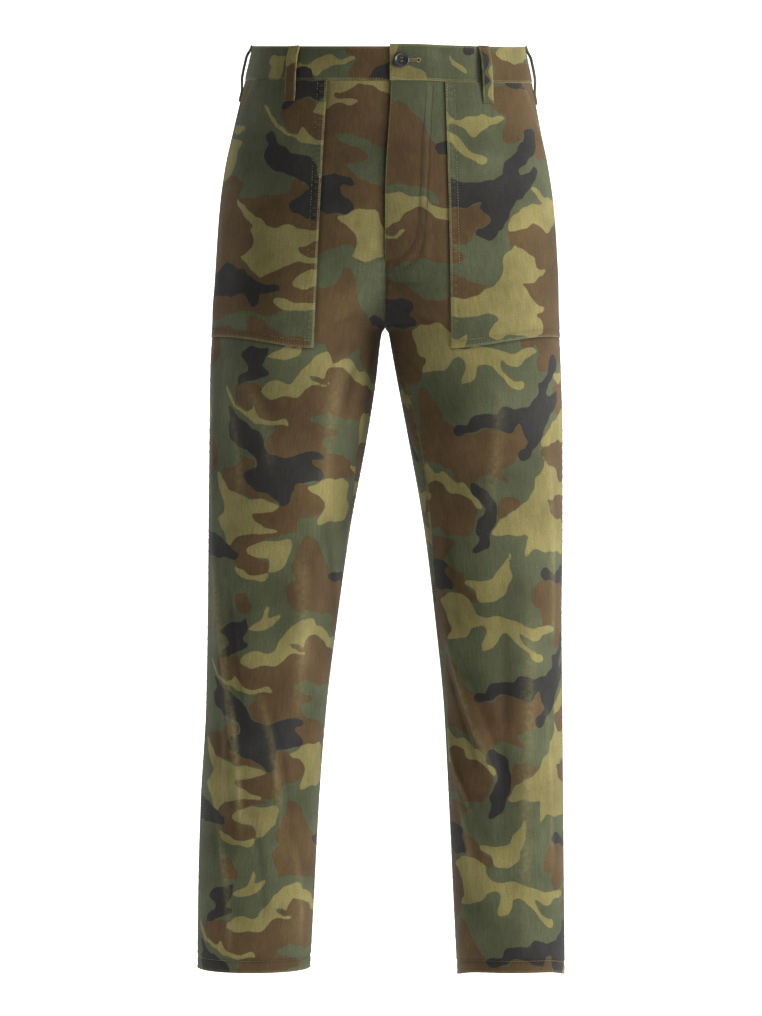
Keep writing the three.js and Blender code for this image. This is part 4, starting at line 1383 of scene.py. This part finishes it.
# Stitches: how far each row lies from the seam, edge or end that it follows,
# and for a pocket's rows how deep they sink.
OUTSEAM_ROWS = (-1.8, -7.5)
INSEAM_ROWS = (2.0, 7.5)
RISE_ROWS = (1.8, 7.0)
POCKET_SIDE_ROWS = ((-1.9, 0.2), (-POCKET_SIDE_ROW, 0.45))
POCKET_LOW_ROWS = ((2.0, 0.2), (POCKET_LOW_ROW, 0.4))
OPENING_ROWS = ((1.9, 0.2), (7.0, 0.1))
BAND_TOP_ROW = 2.2
BAND_LOW_ROW = 2.6


def along(points, pitch):
    """Evenly spaced places along a line of points, with its direction there."""
    length = round_lengths(points[None])[0]
    at = np.arange(pitch / 2, length[-1], pitch)
    place = np.stack([np.interp(at, length, points[:, k]) for k in range(3)], axis=1)
    ahead = np.stack([np.interp(at + 0.4, length, points[:, k]) for k in range(3)], axis=1)
    behind = np.stack([np.interp(at - 0.4, length, points[:, k]) for k in range(3)], axis=1)
    way = ahead - behind
    return place, way / np.maximum(np.linalg.norm(way, axis=1, keepdims=True), 1e-6)


def stitch_row(points, normals, pitch=3.1, long=2.3, wide=0.75, tall=0.45):
    """Points and faces of one row of stitches, each a small bowed thread."""
    place, way = along(points, pitch)
    out, _ = along(points + normals * 10, pitch)
    count = min(len(place), len(out))
    place, way, out = place[:count], way[:count], out[:count]
    up = out - place
    up /= np.linalg.norm(up, axis=1, keepdims=True)
    side_way = np.cross(way, up)
    points_out, faces = [], []
    for share, size in ((-0.5, 0.0), (-0.34, 0.8), (0.0, 1.0), (0.34, 0.8), (0.5, 0.0)):
        centre = place + way * (share * long) + up * (tall * 0.5 * size - 0.12)
        if size == 0:
            points_out.append(centre[:, None, :])
            continue
        ring = [
            centre + side_way * (wide / 2 * size * math.cos(turn)) + up * (tall / 2 * size * math.sin(turn))
            for turn in (0, math.pi / 3, 2 * math.pi / 3, math.pi, 1.5 * math.pi)
        ]
        points_out.append(np.stack(ring, axis=1))
    all_points = np.concatenate(points_out, axis=1)
    size, spokes = all_points.shape[1], len(ring)
    last = size - 1 - spokes
    for k in range(spokes):
        after = (k + 1) % spokes
        faces.append((0, 1 + k, 1 + after))
        faces.append((size - 1, last + after, last + k))
        for first in range(1, last, spokes):
            faces.append((first + k, first + spokes + k, first + spokes + after, first + after))
    whole = [tuple(index + n * size for index in face) for n in range(count) for face in faces]
    return all_points.reshape(-1, 3), whole


def stitches(name, lines, material=None, **sizes):
    """Rows of stitches joined as one piece."""
    points, faces, start = [], [], 0
    for line, normal in lines:
        row_points, row_faces = stitch_row(line, normal, **sizes)
        points.append(row_points)
        faces += [tuple(index + start for index in face) for face in row_faces]
        start += len(row_points)
    return mesh_object(name, np.concatenate(points), faces, material or THREAD)


def body_line(side, angle, z, distance):
    """A line on the body, with its normals."""
    angle, z = np.broadcast_arrays(np.asarray(angle, float), np.asarray(z, float))
    distance = np.broadcast_to(np.asarray(distance, float), z.shape)
    return lifted(side, angle, z, distance), body_normal(side, angle, z)


def shifted(side, angle, z, by):
    """An angle moved along the section by a length."""
    centre, half, depth = section_at(side, z)[:3]
    speed = np.hypot(half * np.sin(angle), depth * np.cos(angle))
    return angle + by / np.maximum(speed, 20)


def seam_lines():
    rows = {"seams": [], "pockets": [], "hems": []}
    leg = np.linspace(WAIST_SEAM - 4, HEM_STITCH + 2, 500)
    for side in (LEFT, RIGHT):
        for by in OUTSEAM_ROWS:
            angle = shifted(side, np.full(leg.shape, OUTSEAM), leg, by)
            rows["seams"].append(body_line(side, angle, leg, 0.0))
        inner = leg[leg < CROTCH_Z - 8]
        inseam = np.radians(read(INSEAMS, SIDE_NAME[side], inner))
        for by in INSEAM_ROWS:
            angle = shifted(side, inseam, inner, by)
            rows["seams"].append(body_line(side, angle, inner, 0.0))
        around = np.linspace(0, 2 * math.pi, 260)
        rows["hems"].append(body_line(side, around, HEM_STITCH + 0.3, -0.45))
    return rows


def pocket_lines():
    rows = []
    base = PATCH_GAP + PATCH_CLOTH
    for side in (LEFT, RIGHT):
        z = np.linspace(WAIST_SEAM - 2, POCKET_BOTTOM + 2, 200)
        edge = pocket_angle(side, z)
        for by, drop in POCKET_SIDE_ROWS:
            rows.append(body_line(side, shifted(side, edge, z, by), z, base - drop))
        start = float(pocket_angle(side, np.array([POCKET_BOTTOM]))[0])
        turn = np.linspace(start - 0.02, math.radians(12.5), 90)
        for above, drop in POCKET_LOW_ROWS:
            rows.append(body_line(side, turn, POCKET_BOTTOM + above, base - drop))
        z = np.linspace(WAIST_SEAM - 2, OPENING_END, 90)
        for by, drop in OPENING_ROWS:
            rows.append(body_line(side, shifted(side, opening_angle(z), z, by), z, base - drop))
    return rows


# The fly's two curved rows of stitches, in pixels of the photograph.
FLY_CURVES = [
    "433.5,84 430.6,141 428.9,183 426.3,220 424.3,241 421.5,253 416,261 407,268 400,270.5 390,272",
    "426.9,84 423,141 421.4,183 419.3,220 417,238 412,249 404,257 396,261 388,262",
]


def fly_lines():
    rows = []
    for curve in FLY_CURVES:
        angle, z = photo_line(LEFT, curve)
        rows.append(body_line(LEFT, angle, z, fly_height(LEFT, angle, z)))
    z = np.linspace(WAIST_SEAM - 1, FLY_BOTTOM + 6, 90)
    angle = angle_at_x(LEFT, 2.2 + fly_edge(z), z)
    rows.append(body_line(LEFT, angle, z, fly_height(LEFT, angle, z)))
    z = np.linspace(FLY_BOTTOM - 4, CROTCH_Z + 2, 60)
    for by in RISE_ROWS:
        angle = shifted(LEFT, inner_angle(LEFT, z), z, -by)
        rows.append(body_line(LEFT, angle, z, 0.0))
    z = np.linspace(WAIST_SEAM - 2, CROTCH_Z + 2, 120)
    for by in RISE_ROWS:
        angle = shifted(LEFT, -inner_angle(LEFT, z), z, by)
        rows.append(body_line(LEFT, angle, z, 0.0))
    return rows


def band_lines():
    rows = []
    left_half = (band_turn(BAND_EDGE + BAND_TOP_ROW), math.pi - 0.01, lap_raise)
    right_half = (-0.012, 0.01 - math.pi, no_lap)
    for start, end, raised in (left_half, right_half):
        turn = np.linspace(start, end, 400)
        top = BAND_TOP["left" if start > 0 else "right"]
        for z in (top - BAND_TOP_ROW, WAIST_SEAM + BAND_LOW_ROW):
            height = BAND_PROUD + raised(turn) - 0.15
            low = band_point(turn, np.full(turn.shape, z), height)
            high = band_point(turn, np.full(turn.shape, z), height + 1)
            rows.append((low, high - low))
    z = np.linspace(BAND_TOP["left"] - BAND_TOP_ROW, WAIST_SEAM + BAND_LOW_ROW, 20)
    turn = np.full(z.shape, band_turn(BAND_EDGE + BAND_TOP_ROW))
    low = band_point(turn, z, BAND_PROUD + BAND_RAISE - 0.15 + 0 * z)
    high = band_point(turn, z, BAND_PROUD + BAND_RAISE + 1 + 0 * z)
    rows.append((low, high - low))
    return rows


seam_rows = seam_lines()
stitches("stitches_seams", seam_rows["seams"])
stitches("stitches_hems", seam_rows["hems"])
stitches("stitches_pockets", pocket_lines())
stitches("stitches_fly", fly_lines(), material=DARK_THREAD_AND_SLIT_SHADE)
stitches("stitches_band", band_lines())


# Button, buttonhole and thread. The buttonhole runs sideways from the button's
# middle and ends in a round eye.
HOLE_SPREAD = 1.7
HOLE_RADIUS = 1.0
SLIT_START = 7.0
SLIT_END = 17.0
EYE_PLACE = 18.6
EYE_RADIUS = 1.9
EYE_TURN = 150


def button_frame():
    angle = float(angle_at_x(LEFT, BUTTON_X, 0.0))
    place = body_point(LEFT, angle, BUTTON_Z, 0)
    out = body_normal(LEFT, np.array(angle), np.array(BUTTON_Z))
    right = np.cross([0.0, 0.0, 1.0], -out)
    right /= np.linalg.norm(right)
    if right[0] < 0:
        right = -right
    up = np.cross(out, right)
    if up[2] < 0:
        up = -up
    return place, out, right, up


PLACE, OUT, ACROSS, UP = button_frame()
ON_BAND = BAND_PROUD + BAND_RAISE


def on_button(x, y, height):
    """A point in the button's own plane."""
    return PLACE + ACROSS * x + UP * y + OUT * height


def round_piece(name, profile, material, turns=64):
    """A round solid turned from a profile of (radius, height)."""
    points, faces = [], []
    for radius, height in profile:
        for k in range(turns):
            turn = 2 * math.pi * k / turns
            points.append(on_button(radius * math.cos(turn), radius * math.sin(turn), height))
    for i in range(len(profile) - 1):
        for k in range(turns):
            after = (k + 1) % turns
            faces.append((i * turns + k, i * turns + after, (i + 1) * turns + after, (i + 1) * turns + k))
    faces.append(tuple(range(turns))[::-1])
    faces.append(tuple(range((len(profile) - 1) * turns, len(profile) * turns)))
    return mesh_object(name, points, faces, material)


def button():
    base = ON_BAND + SEAM_GAP
    profile = [
        (BUTTON_RADIUS - 1.2, 0),
        (BUTTON_RADIUS - 0.4, 0.3),
        (BUTTON_RADIUS, 1.0),
        (BUTTON_RADIUS, 2.1),
        (BUTTON_RADIUS - 0.25, 2.6),
        (BUTTON_RADIUS - 0.8, 2.95),
        (BUTTON_RADIUS - 1.5, 2.95),
        (BUTTON_RADIUS - 2.1, 2.6),
        (BUTTON_RADIUS - 2.5, 2.1),
        (BUTTON_RADIUS - 3.2, 1.9),
        (1.0, 1.75),
    ]
    piece = round_piece("button_disc", [(r, base + h) for r, h in profile], PLASTIC)
    drills = []
    for x in (-HOLE_SPREAD, HOLE_SPREAD):
        for y in (-HOLE_SPREAD, HOLE_SPREAD):
            bpy.ops.mesh.primitive_cylinder_add(vertices=20, radius=HOLE_RADIUS / 1000, depth=0.012)
            drill = bpy.context.object
            centre = on_button(x, y, base + 1.5) / 1000
            drill.location = Vector(centre)
            drill.rotation_mode = "QUATERNION"
            drill.rotation_quaternion = Vector(OUT).to_track_quat("Z", "Y")
            drills.append(drill)
    bpy.context.view_layer.update()
    for drill in drills:
        cut = piece.modifiers.new("hole", "BOOLEAN")
        cut.operation, cut.object, cut.solver = "DIFFERENCE", drill, "EXACT"
    shown = piece.evaluated_get(bpy.context.evaluated_depsgraph_get())
    mesh = bpy.data.meshes.new_from_object(shown)
    piece.modifiers.clear()
    piece.data = mesh
    for drill in drills:
        bpy.data.objects.remove(drill)
    mesh.set_sharp_from_angle(angle=math.radians(40))
    return piece


def tube(name, lines, radius, material, around=8):
    """Threads as round tubes along lines of points."""
    points, faces, start = [], [], 0
    for line in lines:
        line = np.asarray(line, float)
        way = np.gradient(line, axis=0)
        way /= np.linalg.norm(way, axis=1, keepdims=True)
        side_way = np.cross(way, OUT)
        side_way /= np.maximum(np.linalg.norm(side_way, axis=1, keepdims=True), 1e-6)
        up_way = np.cross(side_way, way)
        for k in range(around):
            turn = 2 * math.pi * k / around
            points.append(line + radius * (math.cos(turn) * side_way + math.sin(turn) * up_way))
        count = len(line)
        for k in range(around):
            after = (k + 1) % around
            for i in range(count - 1):
                a, b = start + k * count + i, start + after * count + i
                faces.append((a, b, b + 1, a + 1))
        start += around * count
    return mesh_object(name, np.concatenate(points), faces, material)


def button_thread():
    base = ON_BAND + SEAM_GAP + 1.9
    lines = []
    for y in (-HOLE_SPREAD, HOLE_SPREAD):
        for side_step in (-0.35, 0.0, 0.35):
            x = np.linspace(-1.75, 1.75, 12)
            rise = base - 0.25 + 0.45 * np.cos(x / 1.75 * math.pi / 2)
            lines.append([on_button(v, y + side_step, height) for v, height in zip(x, rise)])
    return tube("button_thread", lines, 0.2, THREAD)


def buttonhole():
    """A keyhole buttonhole: a cut edged with close stitches, and its eye."""
    height = ON_BAND + 0.05
    lines = []
    outline = []
    for x in np.linspace(SLIT_START, SLIT_END, 30):
        outline.append((x, 0.9, 0.0, 1.0))
    for turn in np.radians(np.linspace(EYE_TURN, -EYE_TURN, 34)):
        c, s = math.cos(turn), math.sin(turn)
        outline.append((EYE_PLACE + EYE_RADIUS * c, EYE_RADIUS * s, c, s))
    for x in np.linspace(SLIT_END, SLIT_START, 30):
        outline.append((x, -0.9, 0.0, -1.0))
    for x, y, nx, ny in outline:
        reach = np.linspace(-0.55, 1.15, 7)
        bow = 0.35 * np.sin((reach + 0.55) / 1.7 * math.pi)
        lines.append([on_button(x + nx * r, y + ny * r, height + b) for r, b in zip(reach, bow)])
    return tube("buttonhole_stitches", lines, 0.17, THREAD, around=6)


def buttonhole_slit_shade():
    """A dark sheet inside the buttonhole's stitches: painted shade in its slit and eye."""
    height = ON_BAND + 0.02
    half, eye = 0.45, 1.35
    ring = [(SLIT_START, half), (SLIT_END + 0.2, half)]
    turns = np.radians(np.linspace(EYE_TURN, -EYE_TURN, 20))
    ring += [(EYE_PLACE + eye * math.cos(t), eye * math.sin(t)) for t in turns]
    ring += [(SLIT_END + 0.2, -half), (SLIT_START, -half)]
    low = [on_button(x, y, height - 0.3) for x, y in ring]
    high = [on_button(x, y, height) for x, y in ring]
    count = len(ring)
    faces = [tuple(range(count, 2 * count))[::-1], tuple(range(count))]
    faces += [(k, (k + 1) % count, count + (k + 1) % count, count + k) for k in range(count)]
    return mesh_object("buttonhole_slit_shade", low + high, faces, DARK_THREAD_AND_SLIT_SHADE)


button()
button_thread()
buttonhole()
buttonhole_slit_shade()

# What each piece rides on and stands for.
STANDS_FOR = {
    "cloth_front_left": "front_left",
    "cloth_front_right": "front_right",
    "cloth_back_left": "back_left",
    "cloth_back_right": "back_right",
    "cloth_pocket_left": "pocket_left",
    "cloth_pocket_right": "pocket_right",
    "cloth_fly_shield": "fly_shield",
    "cloth_band_left": "waistband_left",
    "cloth_band_right": "waistband_right",
    "cloth_loop_front_left": "loop_front_left",
    "cloth_loop_front_right": "loop_front_right",
    "cloth_loop_side_left": "loop_side_left",
    "cloth_loop_side_right": "loop_side_right",
    "cloth_loop_back": "loop_back",
    "button_disc": "waist_button",
}
for name, piece in PIECES.items():
    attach(piece, "root")
    if name in STANDS_FOR:
        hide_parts(STANDS_FOR[name])

# The cut of each sheet: width and length in metres, its flat area, what it
# hangs from and what is sewn to it.
LEG_STITCHES = ["stitches_seams", "stitches_fly", "stitches_hems"]
SHEETS = {
    "cloth_front_left": (0.33, 1.005, 0.27, "cloth_band_left", LEG_STITCHES),
    "cloth_front_right": (0.33, 1.005, 0.27, "cloth_band_right", []),
    "cloth_back_left": (0.40, 1.01, 0.30, "cloth_band_left", []),
    "cloth_back_right": (0.40, 1.01, 0.30, "cloth_band_right", []),
    "cloth_pocket_left": (0.16, 0.31, 0.045, "cloth_front_left", ["stitches_pockets"]),
    "cloth_pocket_right": (0.16, 0.31, 0.045, "cloth_front_right", []),
    "cloth_fly_shield": (0.04, 0.205, None, "cloth_front_right", []),
    "cloth_band_left": (0.44, 0.04, None, "cloth_back_left", ["stitches_band"]),
    "cloth_band_right": (0.47, 0.04, None, "cloth_back_right", []),
    "cloth_loop_front_left": (0.013, 0.065, None, "cloth_band_left", []),
    "cloth_loop_front_right": (0.013, 0.065, None, "cloth_band_right", []),
    "cloth_loop_side_left": (0.013, 0.065, None, "cloth_band_left", []),
    "cloth_loop_side_right": (0.013, 0.065, None, "cloth_band_right", []),
    "cloth_loop_back": (0.013, 0.065, None, "cloth_band_left", []),
}
for name, (width, length, area, holder, extras) in SHEETS.items():
    [PIECES[extra] for extra in extras]


# Studio, in metres: a pale floor that curves up into a wall, and three soft
# lights with their place, size, power in watts and what they aim at.
FLOOR_Z = -1.12
FLOOR_REACH = 30.0
WALL_Y = 5.6
WALL_TOP = 9.0
CURVE = 1.0
LIGHTS = [
    ("key", (2.7, -1.15, 0.3), 1.5, 106, (0, 0, -0.5)),
    ("fill", (-2.8, -3.0, 0.4), 2.6, 7, (0, 0, -0.5)),
    ("top", (0.6, -1.2, 2.4), 2.0, 14, (0, 0, -0.4)),
]


def area_light(name, place, size, power, aim):
    light = bpy.data.lights.new(name, "AREA")
    light.size, light.energy = size, power
    lamp = bpy.data.objects.new(name, light)
    lamp.location = place
    lamp.rotation_euler = (Vector(aim) - Vector(place)).to_track_quat("-Z", "Y").to_euler()
    bpy.context.scene.collection.objects.link(lamp)


def studio():
    profile = [(-FLOOR_REACH, 0.0), (WALL_Y - CURVE, 0.0)]
    for turn in np.radians(np.linspace(0, 90, 14)):
        profile.append((WALL_Y - CURVE + CURVE * math.sin(turn), CURVE - CURVE * math.cos(turn)))
    profile.append((WALL_Y, WALL_TOP))
    sides = (-FLOOR_REACH, FLOOR_REACH)
    points = [(x * 1000, y * 1000, (FLOOR_Z + z) * 1000) for y, z in profile for x in sides]
    faces = [(2 * k, 2 * k + 1, 2 * k + 3, 2 * k + 2) for k in range(len(profile) - 1)]
    material, nodes, links, shader = new_material("studio_white")
    shader.inputs["Base Color"].default_value = (0.9, 0.9, 0.9, 1)
    shader.inputs["Roughness"].default_value = 0.9
    shader.inputs["Emission Color"].default_value = (1, 1, 1, 1)
    place = node(nodes, "ShaderNodeTexCoord").outputs["Object"]
    parts = node(nodes, "ShaderNodeSeparateXYZ")
    links.new(place, parts.inputs[0])
    glow = ramp(nodes, links, parts.outputs["Y"], -1.2, 0.4, 0.24, 0.98)
    links.new(glow, shader.inputs["Emission Strength"])
    backdrop = mesh_object("studio_floor", points, faces, material)
    del PIECES["studio_floor"]
    for light in LIGHTS:
        area_light(*light)
    world = bpy.data.worlds.new("studio")
    world.use_nodes = True
    world.node_tree.nodes["Background"].inputs[0].default_value = (1, 1, 1, 1)
    sky_nodes, sky_links = world.node_tree.nodes, world.node_tree.links
    way = node(sky_nodes, "ShaderNodeTexCoord").outputs["Generated"]
    heights = node(sky_nodes, "ShaderNodeSeparateXYZ")
    sky_links.new(way, heights.inputs[0])
    pale = ramp(sky_nodes, sky_links, heights.outputs["Z"], 0.05, 0.25, 0.4, 0.06)
    sky_links.new(pale, sky_nodes["Background"].inputs["Strength"])
    bpy.context.scene.world = world
    bpy.context.scene.view_settings.view_transform = "Standard"


def camera():
    lens = bpy.data.cameras.new("camera")
    lens.sensor_fit = "VERTICAL"
    lens.sensor_height = SENSOR_MM
    lens.lens = SENSOR_MM * -CAMERA_MM.y / (PHOTO_ROWS * PIXEL_MM)
    lens.clip_end = 50
    eye = bpy.data.objects.new("camera", lens)
    eye.location = CAMERA_MM / 1000
    eye.rotation_euler = (math.pi / 2, 0, 0)
    bpy.context.scene.collection.objects.link(eye)
    bpy.context.scene.camera = eye


studio()
camera()
